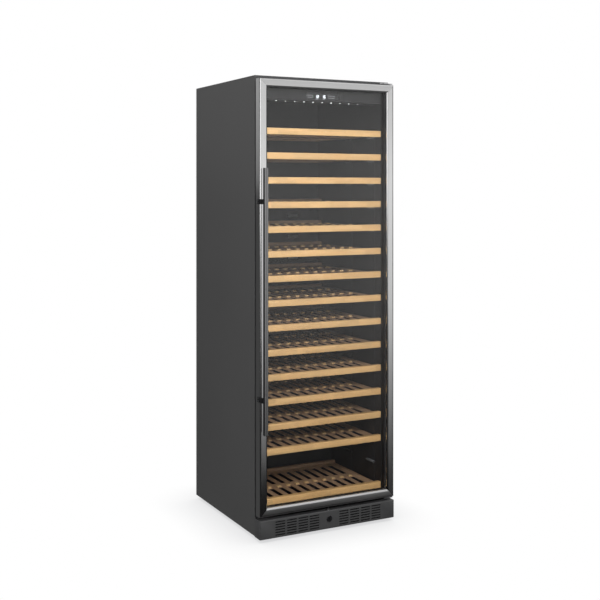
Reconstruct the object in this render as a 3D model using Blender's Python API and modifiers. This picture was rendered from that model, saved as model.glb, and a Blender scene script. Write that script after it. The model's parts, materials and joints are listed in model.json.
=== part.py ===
"""Free-standing wine cooler with a framed glass door, fifteen sliding beech shelves and a machine bay.

Metres, +Z up, the door faces -Y. The origin is at the middle of the floor area that the cooler takes up.
"""

import math

import bmesh
import bpy
from mathutils import Matrix, Vector

# Overall sizes.
WIDTH = 0.595
HEIGHT = 1.760
BODY_DEPTH = 0.5935
HANDLE_REACH = 0.042

# Gaps. CLEAR is between touching pieces, MITRE between the door's mitred members.
CLEAR = 0.0003
MITRE = 0.0003
FLOOR_GAP = 0.013
TRAY_RISE = 0.003
DOOR_GAP = 0.013
TOP_REVEAL = 0.0138

# Cabinet.
SKIN = 0.001
SIDE_WALL = 0.0315
TOP_WALL = 0.038
FLOOR_WALL = 0.086
REAR_WALL = 0.036
LINER_SHEET = 0.0012
TRAY_SHEET = 0.002
TRAY_LIP = 0.022
PLINTH_HEIGHT = 0.0695
BAY_WALL = 0.030
COVER_SLOT_ROWS = 5
COVER_SLOT_LONG = 0.160
COVER_SLOT_TALL = 0.008
COVER_SLOT_X = (-0.160, 0.100)

# Door.
SEAL_SPACE = 0.0107
FRAME_WIDTH = 0.032
FRAME_ROUND = 0.009
FRAME_BEVEL = 0.0055
GLASS_SET_BACK = 0.010
PANE = 0.004
PANE_GAP = 0.012
REBATE = 0.020
SPACER_WIDTH = 0.009
SPACER_INSET = 0.001
INNER_FRAME_DEPTH = 0.0057
INNER_FRAME_STEP = 0.0007
SEAL_WIDTH = 0.017
SEAL_INSET = 0.0108
HINGE_INSET_X = 0.010
HINGE_INSET_Y = 0.020
HINGE_PIN_R = 0.004
HINGE_PIN_LENGTH = 0.020
HINGE_PLATE = 0.003
HINGE_PLATE_GAP = 0.003
HINGE_WING = 0.030
HINGE_NOSE = 0.008
HINGE_EDGE = 0.0005
HINGE_LEG_MARGIN = 0.002

# Handle.
BAR_SIZE = 0.015
BAR_LENGTH = 0.995
BAR_BOTTOM = 0.4125
BRACKET_THICK = 0.008
BRACKET_TALL = 0.019
BRACKET_INSET = 0.126
BRACKET_TAIL = 0.022

# Plinth, lock and feet.
PLINTH_WALL = 0.003
SLOT_COLUMNS = 4
SLOT_ROWS = 6
GRILLE_SLOT = 0.042
GRILLE_SLOT_TALL = 0.004
GRILLE_PITCH_X = 0.049
GRILLE_PITCH_Z = 0.0098
GRILLE_OFFSET = 0.1385
LOCK_R = 0.012
LOCK_RIM = 0.002
LOCK_BARREL_R = 0.008
KEY_SLOT_WIDE = 0.002
KEY_SLOT_TALL = 0.008
LOCK_HEIGHT = 0.038
PIN_R = 0.0025
PIN_SET_BACK = 0.0085
PIN_REST_GAP = 0.003
PIN_TRAVEL = 0.012
PIN_LENGTH = 0.036
STRIKE_WIDE = 0.008
STRIKE_FRONT = 0.0052
STRIKE_REAR = 0.0145
FOOT_PAD_R = 0.018
FOOT_PAD_EDGE = 0.006
FOOT_PAD_TALL = 0.010
FOOT_STEM_REACH = 0.006
FOOT_POCKET_GAP = 0.024
FOOT_STEM_R = 0.005
FOOT_INSET_X = 0.045
FOOT_INSET_Y = 0.055

# Shelves.
SHELF_POSITIONS = 16
EMPTY_POSITION = 15
TOP_SHELF_DROP = 0.1338
BOTTOM_SHELF_RISE = 0.0197
SHELF_SIDE_GAP = 0.0015
DECK_SIDE_GAP = 0.012
RAIL_TALL = 0.025
RAIL_THICK = 0.020
RAIL_CHAMFER = 0.003
DECK_THICK = 0.014
DECK_RISE = 0.0043
SHELF_REAR_GAP = 0.0445
REAR_RAIL_THICK = 0.014
REAR_RAIL_RISE = 0.012
DECK_SLOTS = 11
DECK_SLOT_WIDTH = 0.0185
DECK_SIDE_BOARD = 0.0285
FRONT_SLOT_START = 0.0063
FRONT_SLOT_LENGTH = 0.105
REAR_SLOT_LENGTH = 0.130
SLOT_BAND = 0.057
REAR_BAND = 0.0367

# Shelf supports.
STRIP_SHEET = 0.0015
CLIP_REACH = 0.016
CLIP_TALL = 0.011
CLIP_LONG = 0.048
FRONT_CLIP_Y = 0.048
REAR_CLIP_Y = 0.230
STRIP_MARGIN = 0.020

# Control box and lighting.
CONTROL_TALL = 0.050
CONTROL_DEPTH = 0.068
FASCIA_SHEET = 0.003
FASCIA_SET_BACK = 0.0033
DISPLAY_WIDE = 0.140
DISPLAY_TALL = 0.024
DISPLAY_THICK = 0.0015
DISPLAY_LEVEL = 0.020
LIGHT_COUNT = 10
LIGHT_PITCH = 0.0407
LIGHT_BAR_DEEP = 0.010
LIGHT_BAR_TALL = 0.004
LIGHT_SET_BACK = 0.049
LIGHT_DOME_R = 0.003

# Air duct at the back and its fan.
PLENUM = 0.023
AIR_PANEL = 0.002
AIR_SLOT_WIDE = 0.050
AIR_SLOT_TALL = 0.010
AIR_SLOT_ROWS = 14
AIR_COLUMN_INSET = 0.126
DUCT_FAN_R = 0.050
DUCT_FAN_DEEP = 0.012
DUCT_FAN_GAP = 0.030
EVAPORATOR_WIDE = 0.380
EVAPORATOR_TALL = 0.520
EVAPORATOR_DEEP = 0.008

# Machine bay.
BAY_CLEAR = 0.009
BAY_HEADROOM = 0.044
COMPRESSOR_R = 0.062
COMPRESSOR_TALL = 0.150
COMPRESSOR_SIDE_GAP = 0.0575
COMPRESSOR_FOOT_TALL = 0.012
COMPRESSOR_SKIRT_TALL = 0.030
PAN_TALL = 0.030
PAN_WALL = 0.002
PAN_RISE = 0.004
PAN_OVERHANG = 0.023
PAN_SET_IN = 0.007
CONDENSER_SIDE_GAP = 0.0625
CONDENSER_WIDE = 0.090
CONDENSER_TALL = 0.150
CONDENSER_DEEP = 0.100
CONDENSER_FINS = 14
CONDENSER_FIN = 0.002
CONDENSER_SPINE = 0.006
BAY_FAN_GAP = 0.080
BAY_FAN_R = 0.060
BAY_FAN_DEEP = 0.020
BAY_FAN_FRAME = 0.132
FAN_TIP_GAP = 0.003
FAN_BLADES = 5
FAN_BLADE_THICK = 0.0018
FAN_PITCH = math.radians(28.0)
GLAND_R = 0.010
GLAND_NECK_R = 0.007
GLAND_BORE_R = 0.004
GLAND_LENGTH = 0.010
GLAND_COLLAR = 0.003
GLAND_INSET = 0.060
GLAND_RISE = 0.030

# Planes worked out from the sizes above.
DOOR_THICK = GLASS_SET_BACK + 2 * PANE + PANE_GAP + CLEAR + INNER_FRAME_DEPTH
DEPTH = HANDLE_REACH + DOOR_THICK + SEAL_SPACE + BODY_DEPTH
HALF = WIDTH / 2
FACE = HANDLE_REACH - DEPTH / 2
FLANGE = FACE + DOOR_THICK + SEAL_SPACE
REAR = DEPTH / 2
PLINTH_TOP = FLOOR_GAP + PLINTH_HEIGHT
DOOR_BOTTOM = PLINTH_TOP + DOOR_GAP
DOOR_TOP = HEIGHT - TOP_REVEAL
LINER_X = HALF - SIDE_WALL
LINER_TOP = HEIGHT - TOP_WALL
TRAY_BOTTOM = FLOOR_GAP + TRAY_RISE
TRAY_TOP = TRAY_BOTTOM + TRAY_SHEET
LINER_FLOOR = TRAY_TOP + FLOOR_WALL
LINER_REAR = REAR - REAR_WALL
BAY_DEPTH = max(2 * COMPRESSOR_R, CONDENSER_DEEP, BAY_FAN_FRAME) + 2 * BAY_CLEAR
BAY_FRONT = REAR - BAY_DEPTH
BAY_TOP = TRAY_TOP + COMPRESSOR_TALL + PAN_RISE + PAN_TALL + BAY_HEADROOM
STEP_FRONT = BAY_FRONT - BAY_WALL
STEP_TOP = BAY_TOP + BAY_WALL
AIR_FRONT = LINER_REAR - PLENUM
CONTROL_BOTTOM = LINER_TOP - CONTROL_TALL
SHELF_X = LINER_X - SHELF_SIDE_GAP
DECK_X = LINER_X - DECK_SIDE_GAP
TOP_SHELF = CONTROL_BOTTOM - TOP_SHELF_DROP
BOTTOM_SHELF = LINER_FLOOR + BOTTOM_SHELF_RISE
SHELF_PITCH = (TOP_SHELF - BOTTOM_SHELF) / (SHELF_POSITIONS - 1)
DECK_DEPTH = AIR_FRONT - SHELF_REAR_GAP - FLANGE - RAIL_THICK
SHORT_DECK_DEPTH = STEP_FRONT - SHELF_REAR_GAP - FLANGE - RAIL_THICK
HINGE_X = HALF - HINGE_INSET_X
HINGE_Y = FACE + HINGE_INSET_Y

COLOURS = {
    "side_paint": ((0.085, 0.088, 0.092), 0.42, 0.0),
    "black_plastic": ((0.012, 0.012, 0.013), 0.45, 0.0),
    "liner_plastic": ((0.035, 0.037, 0.040), 0.50, 0.0),
    "foam": ((0.75, 0.66, 0.42), 0.90, 0.0),
    "zinc_sheet": ((0.50, 0.51, 0.52), 0.45, 1.0),
    "brushed_steel": ((0.56, 0.56, 0.56), 0.30, 1.0),
    "tinted_glass": ((0.10, 0.11, 0.13), 0.05, 0.0),
    "seal_rubber": ((0.02, 0.02, 0.02), 0.70, 0.0),
    "handle_black": ((0.02, 0.02, 0.022), 0.35, 0.6),
    "plinth_paint": ((0.030, 0.031, 0.034), 0.45, 0.0),
    "beech": ((0.62, 0.42, 0.22), 0.55, 0.0),
    "clip_grey": ((0.33, 0.34, 0.35), 0.50, 0.0),
    "fascia_grey": ((0.060, 0.062, 0.066), 0.35, 0.0),
    "display_black": ((0.01, 0.01, 0.012), 0.15, 0.0),
    "light_lens": ((0.85, 0.88, 0.92), 0.25, 0.0),
    "chrome": ((0.75, 0.75, 0.76), 0.15, 1.0),
    "machine_black": ((0.015, 0.015, 0.016), 0.40, 0.0),
    "aluminium": ((0.70, 0.71, 0.72), 0.35, 1.0),
    "foot_plastic": ((0.02, 0.02, 0.02), 0.60, 0.0),
}


def start_scene():
    """Empties the scene and returns the collections of the parts and of the cutters."""
    for old in list(bpy.data.objects):
        bpy.data.objects.remove(old, do_unlink=True)
    parts = bpy.data.collections.new("wine_cooler")
    tools = bpy.data.collections.new("wine_cooler_cutters")
    bpy.context.scene.collection.children.link(parts)
    bpy.context.scene.collection.children.link(tools)
    return parts, tools


PARTS, CUTTERS = start_scene()


def finish_of(name):
    """Returns the material of that name, which it makes the first time."""
    if name in bpy.data.materials:
        return bpy.data.materials[name]
    colour, roughness, metallic = COLOURS[name]
    material = bpy.data.materials.new(name)
    material.use_nodes = True
    shader = material.node_tree.nodes["Principled BSDF"]
    shader.inputs["Base Color"].default_value = (*colour, 1.0)
    shader.inputs["Roughness"].default_value = roughness
    shader.inputs["Metallic"].default_value = metallic
    return material


def add_part(name, mesh, finish, place=(0.0, 0.0, 0.0)):
    """Adds a sub-part that shows the mesh at a place."""
    obj = bpy.data.objects.new(name, mesh)
    obj.location = place
    if not mesh.materials:
        mesh.materials.append(finish_of(finish))
    PARTS.objects.link(obj)
    return obj


def add_cutter(name, mesh, place=(0.0, 0.0, 0.0)):
    """Adds a helper that cuts other pieces and never shows."""
    obj = bpy.data.objects.new(name, mesh)
    obj.location = place
    obj.hide_render = True
    obj.display_type = "WIRE"
    CUTTERS.objects.link(obj)
    return obj


def mesh_from(bm, name):
    """Turns a bmesh into a mesh with its faces pointing out."""
    bmesh.ops.recalc_face_normals(bm, faces=bm.faces)
    mesh = bpy.data.meshes.new(name)
    bm.to_mesh(mesh)
    bm.free()
    return mesh


def boxes_mesh(name, spans):
    """Makes one mesh of separate boxes, each from its lowest and highest corner."""
    bm = bmesh.new()
    for low, high in spans:
        low, high = Vector(low), Vector(high)
        size = Matrix.Diagonal((*(high - low), 1.0))
        bmesh.ops.create_cube(bm, size=1.0, matrix=Matrix.Translation((low + high) / 2) @ size)
    return mesh_from(bm, name)


def box(name, finish, low, high, bevel=0.0):
    """Adds a box between two corners, its origin at its middle, its edges chamfered by bevel."""
    middle = (Vector(low) + Vector(high)) / 2
    mesh = boxes_mesh(name, [(Vector(low) - middle, Vector(high) - middle)])
    obj = add_part(name, mesh, finish, middle)
    if bevel:
        chamfer(obj, bevel)
    return obj


def chamfer(obj, width):
    """Cuts an object's sharp edges with one flat."""
    modifier = obj.modifiers.new("edge", "BEVEL")
    modifier.width = width
    modifier.segments = 1
    modifier.limit_method = "ANGLE"


def combine(obj, other, operation):
    """Gives an object a Boolean with another one."""
    modifier = obj.modifiers.new(other.name, "BOOLEAN")
    modifier.operation = operation
    modifier.solver = "EXACT"
    modifier.object = other


def cut_boxes(obj, name, spans):
    """Cuts boxes given in world coordinates from an object."""
    combine(obj, add_cutter(name, boxes_mesh(name, spans)), "DIFFERENCE")


def join_boxes(obj, name, spans):
    """Joins boxes given in world coordinates to an object."""
    combine(obj, add_cutter(name, boxes_mesh(name, spans)), "UNION")


def cylinder_mesh(name, radius, length, axis="Z", sides=32):
    """Makes a cylinder centred on the origin along an axis."""
    turns = {"X": Matrix.Rotation(math.pi / 2, 4, "Y"), "Y": Matrix.Rotation(math.pi / 2, 4, "X")}
    bm = bmesh.new()
    bmesh.ops.create_cone(
        bm, cap_ends=True, segments=sides, radius1=radius, radius2=radius, depth=length,
        matrix=turns.get(axis, Matrix.Identity(4)),
    )
    return mesh_from(bm, name)


def cylinder_cutter(name, radius, length, centre, axis="Z", sides=32):
    """Adds a cylinder that cuts a round hole."""
    return add_cutter(name, cylinder_mesh(name, radius, length, axis, sides), centre)


def drill(obj, name, radius, length, centre, axis="Z", sides=32):
    """Cuts a round hole in an object."""
    combine(obj, cylinder_cutter(name, radius, length, centre, axis, sides), "DIFFERENCE")


def turned(name, finish, profile, place, steps=32):
    """Adds a turned piece about Z. The profile of (radius, height) runs down the piece's outer side."""
    mesh = bpy.data.meshes.new(name)
    points = [(radius, 0.0, height) for radius, height in profile]
    mesh.from_pydata(points, [(i, i + 1) for i in range(len(points) - 1)], [])
    obj = add_part(name, mesh, finish, place)
    modifier = obj.modifiers.new("turn", "SCREW")
    modifier.steps = steps
    modifier.render_steps = steps
    modifier.use_merge_vertices = True
    modifier.merge_threshold = 0.00005
    return obj


def folded_sheet(name, finish, path, width, sheet):
    """Adds a sheet folded along a path of (y, z) points, centred on X. It thickens to its path's left."""
    bm = bmesh.new()
    points = [bm.verts.new((-width / 2, y, z)) for y, z in path]
    edges = [bm.edges.new(pair) for pair in zip(points, points[1:])]
    swept = bmesh.ops.extrude_edge_only(bm, edges=edges)["geom"]
    moved = [item for item in swept if isinstance(item, bmesh.types.BMVert)]
    bmesh.ops.translate(bm, verts=moved, vec=(width, 0.0, 0.0))
    mesh = bpy.data.meshes.new(name)
    bm.to_mesh(mesh)
    bm.free()
    obj = add_part(name, mesh, finish)
    modifier = obj.modifiers.new("sheet", "SOLIDIFY")
    modifier.thickness = sheet
    modifier.offset = 1.0
    modifier.use_even_offset = True
    return obj


def outline_mesh(name, outline, holes, thickness):
    """Makes a flat plate centred on XY from a closed outline and its holes, as welded solid mesh."""
    curve = bpy.data.curves.new(name, "CURVE")
    curve.dimensions = "2D"
    curve.fill_mode = "BOTH"
    curve.extrude = thickness / 2
    for loop in [outline, *holes]:
        spline = curve.splines.new("POLY")
        spline.points.add(len(loop) - 1)
        for point, (x, y) in zip(spline.points, loop):
            point.co = (x, y, 0.0, 1.0)
        spline.use_cyclic_u = True
    return mesh_of_curve(name, curve)


def mesh_of_curve(name, curve):
    """Turns a curve into a mesh with its caps welded on."""
    obj = bpy.data.objects.new(name, curve)
    PARTS.objects.link(obj)
    graph = bpy.context.evaluated_depsgraph_get()
    mesh = bpy.data.meshes.new_from_object(obj.evaluated_get(graph))
    bpy.data.objects.remove(obj)
    bm = bmesh.new()
    bm.from_mesh(mesh)
    bmesh.ops.remove_doubles(bm, verts=bm.verts, dist=0.00002)
    bpy.data.meshes.remove(mesh)
    return mesh_from(bm, name)


def rectangle(x0, x1, y0, y1):
    """Returns a rectangle's corners."""
    return [(x0, y0), (x1, y0), (x1, y1), (x0, y1)]


def ring_mesh(name, outer, inner, y0, y1):
    """Makes a rectangular ring in the XZ plane. Each outline is (half its width, its bottom, its top)."""
    mesh = outline_mesh(
        name,
        rectangle(-outer[0], outer[0], outer[1], outer[2]),
        [rectangle(-inner[0], inner[0], inner[1], inner[2])],
        y1 - y0,
    )
    mesh.transform(Matrix.Translation((0.0, (y0 + y1) / 2, 0.0)) @ Matrix.Rotation(math.pi / 2, 4, "X"))
    return mesh


def frozen(obj, name):
    """Replaces an object by a mesh of its finished shape in world coordinates, and returns that mesh."""
    bpy.context.view_layer.update()
    graph = bpy.context.evaluated_depsgraph_get()
    mesh = bpy.data.meshes.new_from_object(obj.evaluated_get(graph))
    mesh.transform(obj.matrix_world)
    mesh.name = name
    bpy.data.objects.remove(obj, do_unlink=True)
    return mesh


def pivot(name, place):
    """Adds an empty that marks a joint's axis."""
    empty = bpy.data.objects.new(name, None)
    empty.location = place
    PARTS.objects.link(empty)
    return empty


def hang(obj, empty):
    """Parents an object to a pivot and leaves it where it is."""
    obj.parent = empty
    obj.location = obj.location - empty.location


def smooth(obj, angle=35.0):
    """Shades a round piece smooth up to an angle."""
    obj.data.shade_smooth()
    obj.data.set_sharp_from_angle(angle=math.radians(angle))


def cabinet_panels():
    """The outer sheets: two sides, the top, the back and the base tray."""
    side_top = HEIGHT - SKIN - CLEAR
    for name, sign in (("side_panel_left", -1), ("side_panel_right", 1)):
        inner, outer = sorted((sign * HALF, sign * (HALF - SKIN)))
        box(name, "side_paint", (inner, FLANGE, TRAY_BOTTOM), (outer, REAR, side_top))
    box("top_panel", "side_paint", (-HALF, FLANGE, HEIGHT - SKIN), (HALF, REAR, HEIGHT))
    inside = HALF - SKIN - CLEAR
    box("back_panel", "zinc_sheet", (-inside, REAR - SKIN, BAY_TOP + CLEAR), (inside, REAR, side_top))
    tray = folded_sheet(
        "base_tray", "zinc_sheet",
        [(FLANGE, TRAY_BOTTOM), (REAR, TRAY_BOTTOM), (REAR, TRAY_BOTTOM + TRAY_LIP)],
        2 * inside, TRAY_SHEET,
    )
    for index, (x, y) in enumerate(foot_places()):
        drill(tray, f"foot_hole_{index}", FOOT_STEM_R + CLEAR, 4 * TRAY_SHEET, (x, y, TRAY_BOTTOM), sides=24)


def foot_places():
    """Returns where the four feet stand: front left, front right, rear left, rear right."""
    front = FLANGE + FOOT_INSET_Y
    back = REAR - FOOT_INSET_Y
    across = HALF - FOOT_INSET_X
    return [(-across, front), (across, front), (-across, back), (across, back)]


def cold_room_mesh(name, grow, front):
    """Makes the cold room's stepped solid, grown on all its walls, from a front plane back."""
    path = [
        (front, LINER_FLOOR - grow),
        (STEP_FRONT + grow, LINER_FLOOR - grow),
        (STEP_FRONT + grow, STEP_TOP - grow),
        (LINER_REAR + grow, STEP_TOP - grow),
        (LINER_REAR + grow, LINER_TOP + grow),
        (front, LINER_TOP + grow),
    ]
    half = LINER_X + grow
    bm = bmesh.new()
    side = bm.faces.new([bm.verts.new((-half, y, z)) for y, z in path])
    made = bmesh.ops.extrude_face_region(bm, geom=[side])["geom"]
    moved = [item for item in made if isinstance(item, bmesh.types.BMVert)]
    bmesh.ops.translate(bm, verts=moved, vec=(2 * half, 0.0, 0.0))
    return mesh_from(bm, name)


def inner_liner():
    """The moulded liner: a stepped open box whose front edge turns out into a flange."""
    edge_x = HALF - SKIN - CLEAR
    liner = box(
        "inner_liner", "liner_plastic",
        (-edge_x, FLANGE, TRAY_TOP + CLEAR), (edge_x, FLANGE + LINER_SHEET, HEIGHT - SKIN - CLEAR),
    )
    tub = cold_room_mesh("liner_tub", LINER_SHEET, FLANGE + LINER_SHEET / 2)
    combine(liner, add_cutter("liner_tub", tub), "UNION")
    room = cold_room_mesh("liner_room", 0.0, FLANGE - SIDE_WALL)
    combine(liner, add_cutter("liner_room", room), "DIFFERENCE")


def foam_insulation():
    """The foam between the outer sheets and the liner, open at the front and at the machine bay."""
    inside = HALF - SKIN - CLEAR
    skin = LINER_SHEET + CLEAR
    foam = box(
        "foam_insulation", "foam",
        (-inside, FLANGE + skin, TRAY_TOP + CLEAR),
        (inside, REAR - SKIN - CLEAR, HEIGHT - SKIN - CLEAR),
    )
    room = cold_room_mesh("foam_room", skin, FLANGE - SIDE_WALL)
    combine(foam, add_cutter("foam_room", room), "DIFFERENCE")
    wall = SKIN + CLEAR
    cut_boxes(foam, "machine_bay", [
        ((-HALF, BAY_FRONT - wall, 0.0), (HALF, REAR + SIDE_WALL, BAY_TOP + wall)),
    ])
    for index, (x, y) in enumerate(foot_places()[:2]):
        pocket = 2 * (FOOT_STEM_REACH + FOOT_POCKET_GAP)
        drill(foam, f"foot_pocket_{index}", FOOT_STEM_R + 2 * CLEAR, pocket, (x, y, TRAY_TOP), sides=24)


def machine_bay_sheets():
    """The sheet over the machine bay and the slotted cover behind it."""
    inside = HALF - SKIN - CLEAR
    folded_sheet(
        "machine_bay_shell", "zinc_sheet",
        [(BAY_FRONT, TRAY_TOP + CLEAR), (BAY_FRONT, BAY_TOP), (REAR - SKIN - CLEAR, BAY_TOP)],
        2 * inside, SKIN,
    )
    bottom = TRAY_BOTTOM + TRAY_LIP + CLEAR
    top = BAY_TOP - CLEAR
    cover = box("machine_bay_cover", "zinc_sheet", (-inside, REAR - SKIN, bottom), (inside, REAR, top))
    pitch = (top - bottom) / (COVER_SLOT_ROWS + 1)
    slots = []
    for row in range(COVER_SLOT_ROWS):
        z = bottom + pitch * (row + 1)
        for x in COVER_SLOT_X:
            slots.append((
                (x - COVER_SLOT_LONG / 2, REAR - 2 * SKIN, z - COVER_SLOT_TALL / 2),
                (x + COVER_SLOT_LONG / 2, REAR + SKIN, z + COVER_SLOT_TALL / 2),
            ))
    cut_boxes(cover, "cover_slots", slots)
    cable_gland(cover, (HALF - GLAND_INSET, REAR, bottom + GLAND_RISE))


def cable_gland(cover, place):
    """The bored gland in the cover, its collar inside and its end flush with the back."""
    x, y, z = place
    drill(cover, "gland_hole", GLAND_NECK_R + CLEAR, 4 * SKIN, place, "Y", 24)
    neck = cylinder_mesh("mains_cable_gland", GLAND_NECK_R, GLAND_LENGTH, "Y", 24)
    gland = add_part("mains_cable_gland", neck, "black_plastic", (x, y - GLAND_LENGTH / 2, z))
    collar_y = y - SKIN - CLEAR - GLAND_COLLAR / 2
    collar = cylinder_cutter("gland_collar", GLAND_R, GLAND_COLLAR, (x, collar_y, z), "Y", 24)
    combine(gland, collar, "UNION")
    drill(gland, "gland_bore", GLAND_BORE_R, 4 * GLAND_LENGTH, place, "Y", 16)


def duct():
    """The slotted air panel, the evaporator and the fan behind it."""
    half = LINER_X - SHELF_SIDE_GAP
    bottom, top = STEP_TOP + CLEAR, LINER_TOP - CLEAR
    pitch = (CONTROL_BOTTOM - bottom) / (AIR_SLOT_ROWS + 1)
    slots = []
    for row in range(AIR_SLOT_ROWS):
        z = bottom + pitch * (row + 1)
        for x in (-LINER_X + AIR_COLUMN_INSET, LINER_X - AIR_COLUMN_INSET):
            slots.append(rectangle(x - AIR_SLOT_WIDE / 2, x + AIR_SLOT_WIDE / 2, z, z + AIR_SLOT_TALL))
    mesh = outline_mesh("rear_air_panel", rectangle(-half, half, bottom, top), slots, AIR_PANEL)
    place = Matrix.Translation((0.0, AIR_FRONT + AIR_PANEL / 2, 0.0))
    mesh.transform(place @ Matrix.Rotation(math.pi / 2, 4, "X"))
    add_part("rear_air_panel", mesh, "liner_plastic")
    middle = (AIR_FRONT + AIR_PANEL + LINER_REAR) / 2
    low = (bottom + top) / 2 - EVAPORATOR_TALL / 2
    box(
        "evaporator", "aluminium",
        (-EVAPORATOR_WIDE / 2, middle - EVAPORATOR_DEEP / 2, low),
        (EVAPORATOR_WIDE / 2, middle + EVAPORATOR_DEEP / 2, low + EVAPORATOR_TALL), 0.002,
    )
    fan_z = low - DUCT_FAN_R - DUCT_FAN_GAP
    fan_rotor("duct_fan_rotor", DUCT_FAN_R, DUCT_FAN_DEEP, (0.0, middle, fan_z), "Y")


def fan_rotor(name, radius, deep, place, axis):
    """An axial fan's hub with flat pitched blades, turning about an axis."""
    rotor = add_part(name, cylinder_mesh(name, radius * 0.38, deep, "Z", 20), "machine_black")
    for blade in range(FAN_BLADES):
        bm = bmesh.new()
        reach = radius * 0.75
        span = Matrix.Translation((radius - reach / 2, 0.0, 0.0))
        pitch = Matrix.Rotation(FAN_PITCH, 4, "X")
        size = Matrix.Diagonal((reach, radius * 0.5, FAN_BLADE_THICK, 1.0))
        turn = Matrix.Rotation(2 * math.pi * blade / FAN_BLADES, 4, "Z")
        bmesh.ops.create_cube(bm, size=1.0, matrix=turn @ span @ pitch @ size)
        combine(rotor, add_cutter(f"{name}_blade_{blade}", mesh_from(bm, f"{name}_blade")), "UNION")
    mesh = frozen(rotor, name)
    turns = {"X": Matrix.Rotation(math.pi / 2, 4, "Y"), "Y": Matrix.Rotation(math.pi / 2, 4, "X")}
    mesh.transform(turns[axis])
    return add_part(name, mesh, "machine_black", place)


def machine():
    """The compressor with its pan, the condenser and its fan in the machine bay."""
    middle = (BAY_FRONT + REAR) / 2
    base = TRAY_TOP + CLEAR
    compressor_x = HALF - COMPRESSOR_SIDE_GAP - PAN_OVERHANG - COMPRESSOR_R
    condenser_x = -HALF + CONDENSER_SIDE_GAP
    compressor(compressor_x, middle, base)
    condenser(condenser_x, middle, base)
    condenser_fan(condenser_x + CONDENSER_WIDE + BAY_FAN_GAP + BAY_FAN_DEEP / 2, middle, base)


def compressor(x, middle, base):
    """The domed compressor shell, with the pan on top that catches and dries the defrost water."""
    bend = COMPRESSOR_R * 0.35
    arc = 4
    profile = [(0.0, COMPRESSOR_TALL)]
    for step in range(arc + 1):
        angle = math.pi / 2 * (1 - step / arc)
        across = COMPRESSOR_R - bend + bend * math.cos(angle)
        profile.append((across, COMPRESSOR_TALL - bend + bend * math.sin(angle)))
    foot = COMPRESSOR_R * 0.8
    profile += [(COMPRESSOR_R, COMPRESSOR_SKIRT_TALL), (foot, COMPRESSOR_FOOT_TALL), (foot, 0.0), (0.0, 0.0)]
    smooth(turned("compressor", "machine_black", profile, (x, middle, base), 28))
    low = base + COMPRESSOR_TALL + PAN_RISE
    half_x, half_y = COMPRESSOR_R + PAN_OVERHANG, COMPRESSOR_R - PAN_SET_IN
    pan = box(
        "evaporation_pan", "black_plastic",
        (x - half_x, middle - half_y, low), (x + half_x, middle + half_y, low + PAN_TALL),
    )
    cut_boxes(pan, "pan_hollow", [(
        (x - half_x + PAN_WALL, middle - half_y + PAN_WALL, low + PAN_WALL),
        (x + half_x - PAN_WALL, middle + half_y - PAN_WALL, low + 2 * PAN_TALL),
    )])


def condenser(x, middle, base):
    """The condenser as a block of fins that share a spine, like a comb seen from above."""
    pitch = (CONDENSER_DEEP - CONDENSER_FIN) / CONDENSER_FINS
    outline = [(0.0, 0.0), (CONDENSER_WIDE, 0.0)]
    for fin in range(CONDENSER_FINS):
        low = fin * pitch
        outline += [(CONDENSER_WIDE, low + CONDENSER_FIN), (CONDENSER_SPINE, low + CONDENSER_FIN)]
        outline += [(CONDENSER_SPINE, low + pitch), (CONDENSER_WIDE, low + pitch)]
    outline += [(CONDENSER_WIDE, CONDENSER_DEEP), (0.0, CONDENSER_DEEP)]
    mesh = outline_mesh("condenser", outline, [], CONDENSER_TALL)
    add_part("condenser", mesh, "machine_black", (x, middle - CONDENSER_DEEP / 2, base + CONDENSER_TALL / 2))


def condenser_fan(x, middle, base):
    """The fan between the condenser and the compressor: a square frame with a round throat, and its rotor."""
    half, deep = BAY_FAN_FRAME / 2, BAY_FAN_DEEP / 2
    frame = box(
        "condenser_fan_frame", "machine_black",
        (x - deep, middle - half, base), (x + deep, middle + half, base + BAY_FAN_FRAME),
    )
    drill(frame, "fan_throat", BAY_FAN_R + FAN_TIP_GAP, 4 * BAY_FAN_DEEP, (x, middle, base + half), "X", 32)
    fan_rotor("condenser_fan_rotor", BAY_FAN_R, BAY_FAN_DEEP * 0.8, (x, middle, base + half), "X")


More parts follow.
